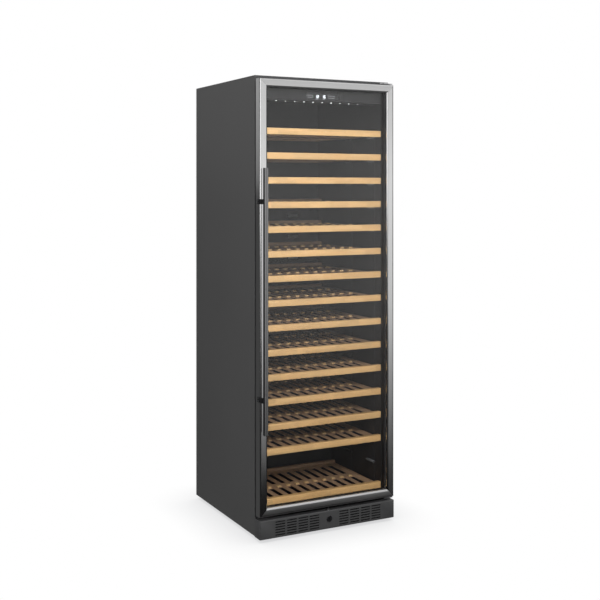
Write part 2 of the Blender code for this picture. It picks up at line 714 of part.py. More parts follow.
def controls():
    """The control box under the liner's ceiling, its fascia, display and light bar."""
    half = LINER_X - CLEAR
    front = FLANGE + FASCIA_SET_BACK
    behind = front + FASCIA_SHEET + CLEAR
    rear = front + CONTROL_DEPTH
    top = LINER_TOP - CLEAR
    display_z = CONTROL_BOTTOM + DISPLAY_LEVEL
    recess = LIGHT_BAR_TALL + CLEAR
    light_y = FLANGE + LIGHT_SET_BACK
    light_x = LIGHT_PITCH * LIGHT_COUNT / 2
    housing = box("control_housing", "black_plastic", (-half, behind, CONTROL_BOTTOM), (half, rear, top))
    cut_boxes(housing, "light_channel", [(
        (-light_x - CLEAR, light_y - LIGHT_BAR_DEEP / 2 - CLEAR, CONTROL_BOTTOM - recess),
        (light_x + CLEAR, light_y + LIGHT_BAR_DEEP / 2 + CLEAR, CONTROL_BOTTOM + recess),
    )])
    fascia = box(
        "control_fascia", "fascia_grey",
        (-half, front, CONTROL_BOTTOM), (half, front + FASCIA_SHEET, top),
    )
    window = (DISPLAY_WIDE / 2, DISPLAY_TALL / 2)
    cut_boxes(fascia, "display_recess", [(
        (-window[0] - CLEAR, front - FASCIA_SHEET, display_z - window[1] - CLEAR),
        (window[0] + CLEAR, front + DISPLAY_THICK + CLEAR, display_z + window[1] + CLEAR),
    )])
    box(
        "display_panel", "display_black",
        (-window[0], front, display_z - window[1]), (window[0], front + DISPLAY_THICK, display_z + window[1]),
    )
    bar = box(
        "interior_light_bar", "light_lens",
        (-light_x, light_y - LIGHT_BAR_DEEP / 2, CONTROL_BOTTOM),
        (light_x, light_y + LIGHT_BAR_DEEP / 2, CONTROL_BOTTOM + LIGHT_BAR_TALL),
    )
    for index in range(LIGHT_COUNT):
        x = (index - (LIGHT_COUNT - 1) / 2) * LIGHT_PITCH
        mesh = cylinder_mesh("light_dome", LIGHT_DOME_R, LIGHT_BAR_TALL, "Z", 12)
        combine(bar, add_cutter(f"light_dome_{index}", mesh, (x, light_y, CONTROL_BOTTOM)), "UNION")


def shelf_bottoms():
    """Returns each shelf position's number and its front rail's lower edge, from the top down."""
    return [(place + 1, TOP_SHELF - place * SHELF_PITCH) for place in range(SHELF_POSITIONS)]


def shelf_supports():
    """A strip on each side wall with a clip for every shelf position, front and rear."""
    low = BOTTOM_SHELF - CLIP_TALL - CLEAR
    high = TOP_SHELF + STRIP_MARGIN
    for name, sign in (("shelf_support_left", -1), ("shelf_support_right", 1)):
        outer = LINER_X - CLEAR
        inner = outer - STRIP_SHEET
        spans = []
        for _, bottom in shelf_bottoms():
            top = bottom + DECK_RISE - CLEAR
            for start in (FRONT_CLIP_Y, REAR_CLIP_Y):
                low_x, high_x = sorted((sign * (LINER_X - CLIP_REACH), sign * (inner + STRIP_SHEET / 2)))
                spans.append((
                    (low_x, FLANGE + start, top - CLIP_TALL),
                    (high_x, FLANGE + start + CLIP_LONG, top),
                ))
        low_x, high_x = sorted((sign * inner, sign * outer))
        strip = box(
            name, "clip_grey",
            (low_x, FLANGE + FRONT_CLIP_Y, low), (high_x, FLANGE + REAR_CLIP_Y + CLIP_LONG, high),
        )
        join_boxes(strip, f"{name}_clips", spans)
        window_front = FLANGE + FRONT_CLIP_Y + CLIP_LONG + STRIP_MARGIN
        window_rear = FLANGE + REAR_CLIP_Y - STRIP_MARGIN
        cut_boxes(strip, f"{name}_window", [(
            (low_x - STRIP_SHEET, window_front, low + STRIP_MARGIN),
        (high_x + STRIP_SHEET, window_rear, high - STRIP_MARGIN),
        )])


def shelf_mesh(name, depth):
    """Makes a shelf: slotted deck, front rail, raised rear rail. Its origin is under the rail's face."""
    pitch = (2 * DECK_X - 2 * DECK_SIDE_BOARD) / DECK_SLOTS
    first = RAIL_THICK + FRONT_SLOT_START
    rear = depth + RAIL_THICK
    end = rear - REAR_RAIL_THICK - REAR_BAND
    top = DECK_RISE + DECK_THICK
    deck = box(f"{name}_deck", "beech", (-DECK_X, RAIL_THICK / 2, DECK_RISE), (DECK_X, rear, top))
    rail = [(-SHELF_X, RAIL_THICK), (-SHELF_X, RAIL_CHAMFER), (-SHELF_X + RAIL_CHAMFER, 0.0)]
    rail += [(-x, y) for x, y in reversed(rail)]
    rail_mesh = outline_mesh(f"{name}_rail", rail, [], RAIL_TALL)
    combine(deck, add_cutter(f"{name}_rail", rail_mesh, (0.0, 0.0, RAIL_TALL / 2)), "UNION")
    back = ((-DECK_X, rear - REAR_RAIL_THICK, top - DECK_THICK / 2), (DECK_X, rear, top + REAR_RAIL_RISE))
    join_boxes(deck, f"{name}_back", [back])
    rows = [(first, first + FRONT_SLOT_LENGTH)]
    while rows[-1][1] + SLOT_BAND + DECK_SLOT_WIDTH < end:
        start = rows[-1][1] + SLOT_BAND
        rows.append((start, min(start + REAR_SLOT_LENGTH, end)))
    slots = []
    for index in range(DECK_SLOTS):
        x = (index - (DECK_SLOTS - 1) / 2) * pitch
        for low, high in rows:
            slots.append(((x - DECK_SLOT_WIDTH / 2, low, 0.0), (x + DECK_SLOT_WIDTH / 2, high, 2 * top)))
    cut_boxes(deck, f"{name}_slots", slots)
    return frozen(deck, name)


def shelves():
    """The fifteen shelves. The lowest is shorter, because the machine bay stands behind it."""
    full = shelf_mesh("shelf_full", DECK_DEPTH)
    short = shelf_mesh("shelf_short", SHORT_DECK_DEPTH)
    kept = [bottom for position, bottom in shelf_bottoms() if position != EMPTY_POSITION]
    for number, bottom in enumerate(kept, start=1):
        mesh = short if bottom + DECK_RISE < STEP_TOP + CLEAR else full
        add_part(f"shelf_{number:02d}", mesh, "beech", (0.0, FLANGE, bottom))


def member_profile():
    """Returns the door member's section as (inwards from the outer edge, back from the face)."""
    arc = []
    for step in range(4):
        angle = math.pi / 2 * step / 3
        arc.append((FRAME_ROUND * (1 - math.sin(math.pi / 2 - angle)), FRAME_ROUND * (1 - math.sin(angle))))
    flat_end = (FRAME_WIDTH - FRAME_BEVEL, 0.0)
    lip = GLASS_SET_BACK - CLEAR
    bevel_end = (FRAME_WIDTH, FRAME_BEVEL)
    front = [(0.0, DOOR_THICK), *arc, flat_end, bevel_end]
    return front + [(FRAME_WIDTH, lip), (REBATE, lip), (REBATE, DOOR_THICK)]


def door_member(name, corners):
    """A member of the door frame between two mitred corners: functions from an inset to an (x, z) point."""
    profile = member_profile()
    bm = bmesh.new()
    first = [bm.verts.new((corners[0](u)[0], FACE + v, corners[0](u)[1])) for u, v in profile]
    face = bm.faces.new(first)
    made = bmesh.ops.extrude_face_region(bm, geom=[face])["geom"]
    far = {}
    for vert in (item for item in made if isinstance(item, bmesh.types.BMVert)):
        near = min(range(len(first)), key=lambda index: (first[index].co - vert.co).length)
        far[vert] = profile[near]
    for vert, (u, v) in far.items():
        x, z = corners[1](u)
        vert.co = (x, FACE + v, z)
    member = add_part(name, mesh_from(bm, name), "brushed_steel")
    smooth(member, 40.0)
    return member


def door_frame(axis):
    """The door's two stiles and two rails, cut for the handle, the hinge pins and the lock pin."""
    gap = MITRE / 2

    def stile_end(side, level, inwards):
        return lambda u: (side * (HALF - u), level + inwards * (u + gap))

    def rail_end(side, level, inwards):
        return lambda u: (side * (HALF - u - gap), level + inwards * u)

    members = {
        "door_stile_left": (stile_end(-1, DOOR_BOTTOM, 1), stile_end(-1, DOOR_TOP, -1)),
        "door_stile_right": (stile_end(1, DOOR_BOTTOM, 1), stile_end(1, DOOR_TOP, -1)),
        "door_rail_top": (rail_end(-1, DOOR_TOP, -1), rail_end(1, DOOR_TOP, -1)),
        "door_rail_bottom": (rail_end(-1, DOOR_BOTTOM, 1), rail_end(1, DOOR_BOTTOM, 1)),
    }
    made = {name: door_member(name, corners) for name, corners in members.items()}
    pin = HINGE_PIN_R + CLEAR
    for name, level in (("top", DOOR_TOP), ("bottom", DOOR_BOTTOM)):
        place = (HINGE_X, HINGE_Y, level)
        hole = cylinder_cutter(f"hinge_hole_{name}", pin, 2 * HINGE_PIN_LENGTH, place, sides=24)
        combine(made["door_stile_right"], hole, "DIFFERENCE")
        combine(made[f"door_rail_{name}"], hole, "DIFFERENCE")
    cut_boxes(made["door_rail_bottom"], "strike_slot", [(
        (-STRIKE_WIDE / 2, FACE + STRIKE_FRONT, DOOR_BOTTOM - PIN_TRAVEL),
        (STRIKE_WIDE / 2, FACE + STRIKE_REAR, DOOR_BOTTOM + PIN_TRAVEL),
    )])
    for name, level in bracket_levels().items():
        cut_boxes(made["door_stile_left"], f"{name}_seat", [(
            (-HALF - BRACKET_THICK, FACE - BRACKET_TAIL, level - BRACKET_TALL / 2 - CLEAR),
            (-HALF + BRACKET_THICK + CLEAR, FACE + BRACKET_TAIL + CLEAR, level + BRACKET_TALL / 2 + CLEAR),
        )])
    for member in made.values():
        hang(member, axis)


def door_glazing(axis):
    """The two panes, the spacer between them, the inner frame and the magnetic seal."""
    edge = REBATE + CLEAR
    low, high = DOOR_BOTTOM + edge, DOOR_TOP - edge
    half = HALF - edge
    outer_front = FACE + GLASS_SET_BACK
    inner_front = outer_front + PANE + PANE_GAP
    pieces = [
        box("outer_glass", "tinted_glass", (-half, outer_front, low), (half, outer_front + PANE, high)),
        box("inner_glass", "tinted_glass", (-half, inner_front, low), (half, inner_front + PANE, high)),
    ]
    gap_front, gap_rear = outer_front + PANE + CLEAR, inner_front - CLEAR
    outline = (half - SPACER_INSET, low + SPACER_INSET, high - SPACER_INSET)
    inside = (half - SPACER_WIDTH, low + SPACER_WIDTH, high - SPACER_WIDTH)
    pieces.append(add_part(
        "glass_spacer", ring_mesh("glass_spacer", outline, inside, gap_front, gap_rear), "black_plastic",
    ))
    frame_front = inner_front + PANE + CLEAR
    frame_rear = frame_front + INNER_FRAME_DEPTH
    inner_edge = FRAME_WIDTH - INNER_FRAME_STEP
    inside = (HALF - inner_edge, DOOR_BOTTOM + inner_edge, DOOR_TOP - inner_edge)
    pieces.append(add_part(
        "door_inner_frame",
        ring_mesh("door_inner_frame", (half, low, high), inside, frame_front, frame_rear), "black_plastic",
    ))
    seal_front, seal_rear = FACE + DOOR_THICK + CLEAR, FLANGE - CLEAR
    outline = (HALF - SEAL_INSET, DOOR_BOTTOM + SEAL_INSET, DOOR_TOP - SEAL_INSET)
    far = SEAL_INSET + SEAL_WIDTH
    inside = (HALF - far, DOOR_BOTTOM + far, DOOR_TOP - far)
    pieces.append(add_part(
        "door_seal", ring_mesh("door_seal", outline, inside, seal_front, seal_rear), "seal_rubber",
    ))
    for piece in pieces:
        hang(piece, axis)


def bracket_levels():
    """Returns the heights of the two handle brackets."""
    return {
        "handle_bracket_upper": BAR_BOTTOM + BAR_LENGTH - BRACKET_INSET,
        "handle_bracket_lower": BAR_BOTTOM + BRACKET_INSET,
    }


def handle(axis):
    """The square bar in front of the left stile and the two plates that carry it."""
    bar_front = FACE - HANDLE_REACH
    bar_x = -HALF + BAR_SIZE
    bar = box(
        "handle_bar", "handle_black",
        (-HALF, bar_front, BAR_BOTTOM), (bar_x, bar_front + BAR_SIZE, BAR_BOTTOM + BAR_LENGTH), 0.0012,
    )
    hang(bar, axis)
    for name, level in bracket_levels().items():
        bracket = box(
            name, "handle_black",
            (-HALF, bar_front + BAR_SIZE + CLEAR, level - BRACKET_TALL / 2),
            (-HALF + BRACKET_THICK, FACE + BRACKET_TAIL, level + BRACKET_TALL / 2),
        )
        hang(bracket, axis)


def hinges():
    """The two hinge plates on the cabinet's front, each with the pin that the door turns on."""
    low = DOOR_TOP + HINGE_PLATE_GAP
    hinge("hinge_top", (low, low + HINGE_PLATE), (low, HEIGHT - HINGE_LEG_MARGIN), low)
    high = DOOR_BOTTOM - HINGE_PLATE_GAP
    hinge("hinge_bottom", (high - HINGE_PLATE, high), (PLINTH_TOP + HINGE_LEG_MARGIN / 2, high), high)


def hinge(name, plate, leg, pin_root):
    """A hinge angle: a flat plate and a leg against the flange, each (low, high), and a pin into the door."""
    back = FLANGE - 2 * CLEAR
    left, right = HINGE_X - HINGE_WING, HALF - HINGE_EDGE
    piece = box(name, "chrome", (left, HINGE_Y - HINGE_NOSE, plate[0]), (right, back, plate[1]))
    join_boxes(piece, f"{name}_leg", [((left, back - HINGE_PLATE, leg[0]), (right, back, leg[1]))])
    towards_door = -1 if pin_root > HEIGHT / 2 else 1
    middle = pin_root + towards_door * (HINGE_PIN_LENGTH - HINGE_PLATE + CLEAR) / 2
    pin = cylinder_mesh(f"{name}_pin", HINGE_PIN_R, HINGE_PIN_LENGTH, "Z", 24)
    combine(piece, add_cutter(f"{name}_pin", pin, (HINGE_X, HINGE_Y, middle)), "UNION")


def plinth():
    """The ventilated plinth under the door, with its lock and lock pin."""
    back = FLANGE - CLEAR
    cover = box(
        "plinth_grille", "plinth_paint", (-HALF, FACE, FLOOR_GAP), (HALF, back, PLINTH_TOP), 0.0015,
    )
    wall = PLINTH_WALL
    cut_boxes(cover, "plinth_hollow", [(
        (-HALF + wall, FACE + wall, FLOOR_GAP + wall), (HALF - wall, back + wall, PLINTH_TOP - wall),
    )])
    slots = []
    first_z = FLOOR_GAP + (PLINTH_HEIGHT - (SLOT_ROWS - 1) * GRILLE_PITCH_Z) / 2
    for block in (-GRILLE_OFFSET, GRILLE_OFFSET):
        for column in range(SLOT_COLUMNS):
            x = block + (column - (SLOT_COLUMNS - 1) / 2) * GRILLE_PITCH_X
            for row in range(SLOT_ROWS):
                z = first_z + row * GRILLE_PITCH_Z
                slots.append((
                    (x - GRILLE_SLOT / 2, FACE - wall, z - GRILLE_SLOT_TALL / 2),
                    (x + GRILLE_SLOT / 2, FACE + 2 * wall, z + GRILLE_SLOT_TALL / 2),
                ))
    cut_boxes(cover, "plinth_slots", slots)
    lock(cover)


def lock(cover):
    """The key lock in the plinth and the pin that it raises into the door."""
    lock_z = FLOOR_GAP + LOCK_HEIGHT
    pin_y = FACE + PIN_SET_BACK
    through = 4 * PLINTH_WALL
    drill(cover, "lock_barrel_hole", LOCK_BARREL_R + CLEAR, through, (0.0, FACE, lock_z), "Y", 24)
    drill(cover, "lock_pin_hole", PIN_R + CLEAR, through, (0.0, pin_y, PLINTH_TOP), sides=20)
    barrel_end = PIN_SET_BACK - PIN_R - 3 * CLEAR
    barrel = turned("lock_cylinder", "machine_black", [
        (0.0, LOCK_RIM), (LOCK_R - LOCK_RIM / 2, LOCK_RIM), (LOCK_R, LOCK_RIM / 2), (LOCK_R, CLEAR),
        (LOCK_BARREL_R, CLEAR), (LOCK_BARREL_R, -barrel_end), (0.0, -barrel_end),
    ], (0.0, FACE, lock_z), 32)
    barrel.rotation_euler = (math.pi / 2, 0.0, 0.0)
    cut_boxes(barrel, "key_slot", [(
        (-KEY_SLOT_WIDE / 2, FACE - 2 * LOCK_RIM, lock_z - KEY_SLOT_TALL / 2),
        (KEY_SLOT_WIDE / 2, FACE + LOCK_RIM, lock_z + KEY_SLOT_TALL / 2),
    )])
    middle = DOOR_BOTTOM - PIN_REST_GAP - PIN_LENGTH / 2
    pin = cylinder_mesh("lock_pin", PIN_R, PIN_LENGTH, "Z", 20)
    add_part("lock_pin", pin, "chrome", (0.0, pin_y, middle))


def feet():
    """Four screw feet: a wide pad on the floor and a stem through the base tray."""
    names = ("foot_front_left", "foot_front_right", "foot_rear_left", "foot_rear_right")
    for name, (x, y) in zip(names, foot_places()):
        stem_top = TRAY_TOP + FOOT_STEM_REACH
        turned(name, "foot_plastic", [
            (0.0, stem_top), (FOOT_STEM_R, stem_top), (FOOT_STEM_R, FOOT_PAD_TALL),
            (FOOT_PAD_R * 0.8, FOOT_PAD_TALL), (FOOT_PAD_R, FOOT_PAD_EDGE), (FOOT_PAD_R, 0.0), (0.0, 0.0),
        ], (x, y, 0.0), 24)


def main():
    """Builds the cooler."""
    cabinet_panels()
    inner_liner()
    foam_insulation()
    machine_bay_sheets()
    duct()
    machine()
    controls()
    shelf_supports()
    shelves()
    hinges()
    plinth()
    feet()
    axis = pivot("door_hinge_axis", (HINGE_X, HINGE_Y, DOOR_BOTTOM))
    door_frame(axis)
    door_glazing(axis)
    handle(axis)


main()
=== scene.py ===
"""Looks of a tall wine cooler: brushed door frame, tinted panes, beech shelves and a lit control fascia.

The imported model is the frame. Every piece here is in metres, in that frame: +Z up, the door faces -Y.
"""

from __future__ import annotations

import json
import logging
import math
from dataclasses import dataclass
from enum import Enum
from typing import Iterable, Sequence

import bmesh
import bpy
from mathutils import Matrix, Vector


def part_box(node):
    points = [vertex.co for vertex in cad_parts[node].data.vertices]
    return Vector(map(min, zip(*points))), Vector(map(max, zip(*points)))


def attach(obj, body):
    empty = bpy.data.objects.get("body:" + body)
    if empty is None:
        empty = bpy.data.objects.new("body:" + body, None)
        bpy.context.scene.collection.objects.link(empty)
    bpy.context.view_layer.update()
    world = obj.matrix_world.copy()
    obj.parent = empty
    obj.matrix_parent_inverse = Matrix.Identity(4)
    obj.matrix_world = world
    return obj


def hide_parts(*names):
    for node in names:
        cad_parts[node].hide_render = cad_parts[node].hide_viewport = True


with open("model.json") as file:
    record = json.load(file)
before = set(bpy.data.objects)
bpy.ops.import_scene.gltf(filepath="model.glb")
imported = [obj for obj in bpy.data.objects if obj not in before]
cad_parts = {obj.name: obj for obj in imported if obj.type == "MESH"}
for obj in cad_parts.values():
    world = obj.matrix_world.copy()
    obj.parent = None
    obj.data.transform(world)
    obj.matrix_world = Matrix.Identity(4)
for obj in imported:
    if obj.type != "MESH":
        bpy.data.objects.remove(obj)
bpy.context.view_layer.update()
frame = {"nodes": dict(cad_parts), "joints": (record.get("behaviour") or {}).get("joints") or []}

LOG = logging.getLogger("wine_cooler")
Colour = tuple[float, float, float]
Point = tuple[float, float, float]
MM = 0.001
TINY = 1e-6


# ---------------------------------------------------------------- shader maths


class Value:
    """A number that changes over a surface. Arithmetic on it adds Math nodes."""

    def __init__(self, graph: Graph, socket: bpy.types.NodeSocket) -> None:
        """Wraps an output socket of a graph."""
        self.graph = graph
        self.socket = socket

    def math(self, operation: str, *others: Value | float) -> Value:
        """Adds one Math node.

        Args:
            operation: The Math node's operation.
            others: The operands after this value.

        Returns:
            The node's result.
        """
        operands = dict(enumerate((self, *others)))
        node = self.graph.node("ShaderNodeMath", {"operation": operation}, operands)
        return Value(self.graph, node.outputs[0])

    def __add__(self, other: Value | float) -> Value:
        """Returns the sum."""
        return self.math("ADD", other)

    __radd__ = __add__

    def __mul__(self, other: Value | float) -> Value:
        """Returns the product."""
        return self.math("MULTIPLY", other)

    __rmul__ = __mul__

    def __truediv__(self, other: Value | float) -> Value:
        """Returns the quotient."""
        return self.math("DIVIDE", other)

    def floor(self) -> Value:
        """Returns the whole part."""
        return self.math("FLOOR")

    def between(self, low: float, high: float) -> Value:
        """Returns how far the value is from low to high, kept within 0 and 1."""
        inputs = {0: self, 1: low, 2: high, 3: 0.0, 4: 1.0}
        node = self.graph.node("ShaderNodeMapRange", {"clamp": True}, inputs)
        return Value(self.graph, node.outputs[0])


class Graph:
    """The node tree of one material, or of the world."""

    def __init__(self, owner: bpy.types.Material | bpy.types.World,
                 output: str = "ShaderNodeOutputMaterial") -> None:
        """Starts on the owner's empty tree with its output node."""
        owner.use_nodes = True
        self.tree = owner.node_tree
        self.tree.nodes.clear()
        self.output = self.node(output)
        self._place: bpy.types.NodeSocket | None = None

    def close(self, shader: bpy.types.Node) -> None:
        """Links a shader to the tree's output."""
        self.tree.links.new(shader.outputs[0], self.output.inputs[0])

    def node(self, kind: str, settings: dict | None = None, inputs: dict | None = None) -> bpy.types.Node:
        """Adds a node.

        Args:
            kind: The node's type.
            settings: The node's own properties, or "stops" for a colour ramp.
            inputs: A value, link or colour for each named or numbered socket.

        Returns:
            The node.
        """
        made = self.tree.nodes.new(kind)
        for key, setting in (settings or {}).items():
            if key == "stops":
                self._set_stops(made.color_ramp, setting)
            else:
                setattr(made, key, setting)
        for key, given in (inputs or {}).items():
            socket = made.inputs[key]
            if isinstance(given, Value):
                self.tree.links.new(given.socket, socket)
            elif isinstance(given, bpy.types.NodeSocket):
                self.tree.links.new(given, socket)
            elif isinstance(given, tuple) and len(given) == 3 and socket.type == "RGBA":
                socket.default_value = (*given, 1.0)
            else:
                socket.default_value = given
        return made

    @staticmethod
    def _set_stops(ramp: bpy.types.ColorRamp, stops: Sequence[tuple[float, Colour]]) -> None:
        """Gives a ramp its stops, each a position and a colour."""
        while len(ramp.elements) < len(stops):
            ramp.elements.new(1.0)
        for element, (position, colour) in zip(ramp.elements, stops):
            element.position = position
            element.color = (*colour, 1.0)

    @property
    def place(self) -> bpy.types.NodeSocket:
        """The point on the piece, in the frame's metres."""
        if self._place is None:
            self._place = self.node("ShaderNodeTexCoord").outputs["Object"]
        return self._place

    def axes(self) -> tuple[Value, Value, Value]:
        """Returns the point's x, y and z."""
        split = self.node("ShaderNodeSeparateXYZ", None, {0: self.place})
        return Value(self, split.outputs[0]), Value(self, split.outputs[1]), Value(self, split.outputs[2])

    def vector(self, x: Value | float, y: Value | float, z: Value | float) -> bpy.types.NodeSocket:
        """Returns a vector of three numbers."""
        return self.node("ShaderNodeCombineXYZ", None, {0: x, 1: y, 2: z}).outputs[0]

    def stretched(self, scale: Point, offset: Point = (0.0, 0.0, 0.0)) -> bpy.types.NodeSocket:
        """Returns the place scaled along each axis and then shifted."""
        inputs = {"Vector": self.place, "Location": offset, "Scale": scale}
        return self.node("ShaderNodeMapping", None, inputs).outputs[0]

    def noise(self, vector: bpy.types.NodeSocket, scale: float, detail: float = 2.0,
              rough: float = 0.5) -> Value:
        """Returns soft noise from 0 to 1 at a vector."""
        inputs = {"Vector": vector, "Scale": scale, "Detail": detail, "Roughness": rough}
        return Value(self, self.node("ShaderNodeTexNoise", None, inputs).outputs[0])

    def cells(self, vector: bpy.types.NodeSocket, scale: float,
              output: str = "Distance") -> bpy.types.NodeSocket:
        """Returns a Voronoi output at a vector."""
        return self.node("ShaderNodeTexVoronoi", None, {"Vector": vector, "Scale": scale}).outputs[output]

    def chance(self, vector: bpy.types.NodeSocket) -> Value:
        """Returns one even random number for each vector."""
        node = self.node("ShaderNodeTexWhiteNoise", {"noise_dimensions": "3D"}, {"Vector": vector})
        return Value(self, node.outputs["Value"])

    def blend(self, factor: Value | float, low: object, high: object) -> bpy.types.NodeSocket:
        """Returns a mix of two colours, each a colour or a link."""
        return self.node("ShaderNodeMix", {"data_type": "RGBA"}, {0: factor, 6: low, 7: high}).outputs[2]

    def emit(self, level: object) -> None:
        """Closes the tree with plain light of a colour or a link."""
        self.close(self.node("ShaderNodeEmission", None, {"Color": level, "Strength": 1.0}))

    def ramp(self, factor: Value, stops: Sequence[tuple[float, Colour]]) -> bpy.types.NodeSocket:
        """Returns a colour read from a ramp."""
        return self.node("ShaderNodeValToRGB", {"stops": stops}, {0: factor}).outputs[0]

    def bump(self, height: Value, depth: float) -> bpy.types.NodeSocket:
        """Returns a normal bent by a height, which is depth metres from 0 to 1."""
        inputs = {"Height": height, "Distance": depth, "Strength": 1.0}
        return self.node("ShaderNodeBump", None, inputs).outputs[0]


# ---------------------------------------------------------------- finishes


@dataclass(frozen=True)
class Finish:
    """A finish of one material slot. Its even values go on the shader's own sockets."""

    slot: str
    colour: Colour
    roughness: float = 0.5
    metallic: float = 0.0
    coat: float = 0.0
    label: str = ""
    specular: float = 0.5

    def material(self) -> bpy.types.Material:
        """Returns the finish's material, which it makes the first time."""
        name = self.label or self.slot
        found = bpy.data.materials.get(f"{name}_finish")
        if found is None:
            found = bpy.data.materials.new(f"{name}_finish")
            self.compose(Graph(found))
        return found

    def compose(self, graph: Graph) -> None:
        """Builds the node tree: a principled shader with this finish's own detail."""
        inputs = {"Metallic": self.metallic, "Coat Weight": self.coat, "Specular IOR Level": self.specular}
        inputs.update(self.detail(graph))
        inputs.setdefault("Base Color", self.colour)
        inputs.setdefault("Roughness", self.roughness)
        graph.close(graph.node("ShaderNodeBsdfPrincipled", None, inputs))

    def detail(self, graph: Graph) -> dict:
        """Returns the shader's sockets that this finish sets."""
        return {}

    def shade(self, factor: float) -> Colour:
        """Returns the colour made lighter or darker."""
        return tuple(min(1.0, part * factor) for part in self.colour)


@dataclass(frozen=True)
class Mottled(Finish):
    """A finish with soft clouds in tone and sheen over a fine, even relief.

    The clouds have a scale and a detail, tones are the colour's darkest and lightest factors, and sheen is how far
    the roughness starts from its even value and how far it spreads. The relief is round cells, or soft noise.
    """

    clouds: tuple[float, float] = (9.0, 3.0)
    tones: tuple[float, float] = (0.9, 1.12)
    sheen: tuple[float, float] = (-0.05, 0.10)
    relief: float = 900.0
    depth: float = 0.00005
    cellular: bool = True

    def detail(self, graph: Graph) -> dict:
        """Returns the clouds in tone and sheen and the bump of the relief."""
        if self.cellular:
            height = Value(graph, graph.cells(graph.place, self.relief))
        else:
            height = graph.noise(graph.place, self.relief, 2.0)
        cloud = graph.noise(graph.place, *self.clouds)
        least, spread = self.sheen
        return {
            "Base Color": graph.blend(cloud, self.shade(self.tones[0]), self.shade(self.tones[1])),
            "Roughness": self.roughness + least + spread * cloud,
            "Normal": graph.bump(height, self.depth),
        }


@dataclass(frozen=True)
class MouldedPlastic(Mottled):
    """Plastic from a spark-eroded mould: a fine pebble grain."""


@dataclass(frozen=True)
class PowderPaint(Mottled):
    """Satin paint on steel with a fine orange peel."""

    clouds: tuple[float, float] = (3.0, 3.0)
    tones: tuple[float, float] = (0.93, 1.07)
    sheen: tuple[float, float] = (-0.04, 0.08)
    relief: float = 420.0
    depth: float = 0.00004
    cellular: bool = False


@dataclass(frozen=True)
class PlatedSteel(Mottled):
    """Bright or satin plated steel with faint handling marks."""

    clouds: tuple[float, float] = (60.0, 4.0)
    tones: tuple[float, float] = (0.92, 1.05)
    sheen: tuple[float, float] = (0.0, 0.15)
    relief: float = 260.0
    depth: float = 0.00002
    cellular: bool = False


@dataclass(frozen=True)
class Rubber(Mottled):
    """Matt rubber or foam with pores and a powdery skin."""

    clouds: tuple[float, float] = (40.0, 5.0)
    tones: tuple[float, float] = (0.8, 1.35)
    sheen: tuple[float, float] = (-0.08, 0.16)
    relief: float = 700.0
    depth: float = 0.00006


@dataclass(frozen=True)
class ZincSheet(Finish):
    """Hot-dip galvanised sheet with its frosted spangle."""

    spangle: float = 85.0

    def detail(self, graph: Graph) -> dict:
        """Returns a tone for each crystal and a roughness that follows it."""
        hues = graph.cells(graph.place, self.spangle, "Color")
        crystal = graph.node("ShaderNodeSeparateColor", None, {0: hues})
        tone = Value(graph, crystal.outputs[0])
        haze = graph.noise(graph.place, 14.0, 4.0)
        return {
            "Base Color": graph.blend(0.6 * tone + 0.4 * haze, self.shade(0.78), self.shade(1.15)),
            "Roughness": self.roughness - 0.12 + 0.24 * tone,
            "Normal": graph.bump(tone, 0.00003),
        }


class Grain(Enum):
    """Which way a brushed or a grown line runs."""

    ACROSS = "across"
    DEEP = "deep"
    UP = "up"

    def scales(self, along: float, over: float) -> Point:
        """Returns the scale on each axis: along the line, and over it on the two others."""
        return tuple(along if own is self else over for own in (Grain.ACROSS, Grain.DEEP, Grain.UP))


@dataclass(frozen=True)
class BrushedMetal(Finish):
    """Metal brushed in one direction."""

    grain: Grain = Grain.UP
    spread: float = 0.10

    def detail(self, graph: Graph) -> dict:
        """Returns brush lines in tone, roughness and bump."""
        lines = graph.noise(graph.stretched(self.grain.scales(6.0, 900.0)), 1.0, 3.0, 0.65)
        broad = graph.noise(graph.stretched(self.grain.scales(1.5, 120.0)), 1.0, 2.0)
        wear = 0.7 * lines + 0.3 * broad
        return {
            "Base Color": graph.blend(wear, self.shade(1.0 - self.spread), self.shade(1.0 + self.spread)),
            "Roughness": self.roughness - self.spread + 2.0 * self.spread * wear,
            "Normal": graph.bump(lines, 0.00002),
        }


@dataclass(frozen=True)
class Beech(Finish):
    """Oiled beech glued up from staves, with fine grain and ray flecks."""

    grain: Grain = Grain.ACROSS
    stave: float = 0.085
    lane_wide: float = 0.0205
    levels_per_metre: float = 47.0

    def detail(self, graph: Graph) -> dict:
        """Returns each stave's tone, the grain lines and flecks, and a bump of open pores."""
        x, y, z = graph.axes()
        level = (z * self.levels_per_metre).floor()
        if self.grain is Grain.ACROSS:
            run, lane = x, y * 0.0
        else:
            run, lane = y, (x / self.lane_wide).floor()
        board = ((run + level * 0.037 + lane * 0.051) / self.stave).floor()
        tone = graph.chance(graph.vector(board, lane, level))
        hue = graph.chance(graph.vector(lane, board, level + 7.0))
        lines = graph.noise(graph.stretched(self.grain.scales(9.0, 420.0)), 1.0, 4.0, 0.6)
        figure = graph.noise(graph.stretched(self.grain.scales(5.0, 60.0)), 1.0, 3.0)
        fleck = graph.noise(graph.stretched(self.grain.scales(260.0, 1300.0)), 1.0, 1.0).between(0.62, 0.74)
        light = graph.blend(tone, self.shade(0.90), self.shade(1.13))
        warm = graph.blend(hue * 0.35, light, (self.colour[0], self.colour[1] * 0.86, self.colour[2] * 0.72))
        grown = graph.blend(lines.between(0.3, 0.75) * 0.30, warm, self.shade(0.62))
        shaped = graph.blend(figure.between(0.45, 0.75) * 0.22, grown, self.shade(0.74))
        flecked = graph.blend(fleck * 0.22, shaped, self.shade(0.55))
        return {
            "Base Color": flecked,
            "Roughness": self.roughness - 0.06 + 0.14 * lines,
            "Normal": graph.bump(lines + fleck * 0.5, 0.00006),
        }


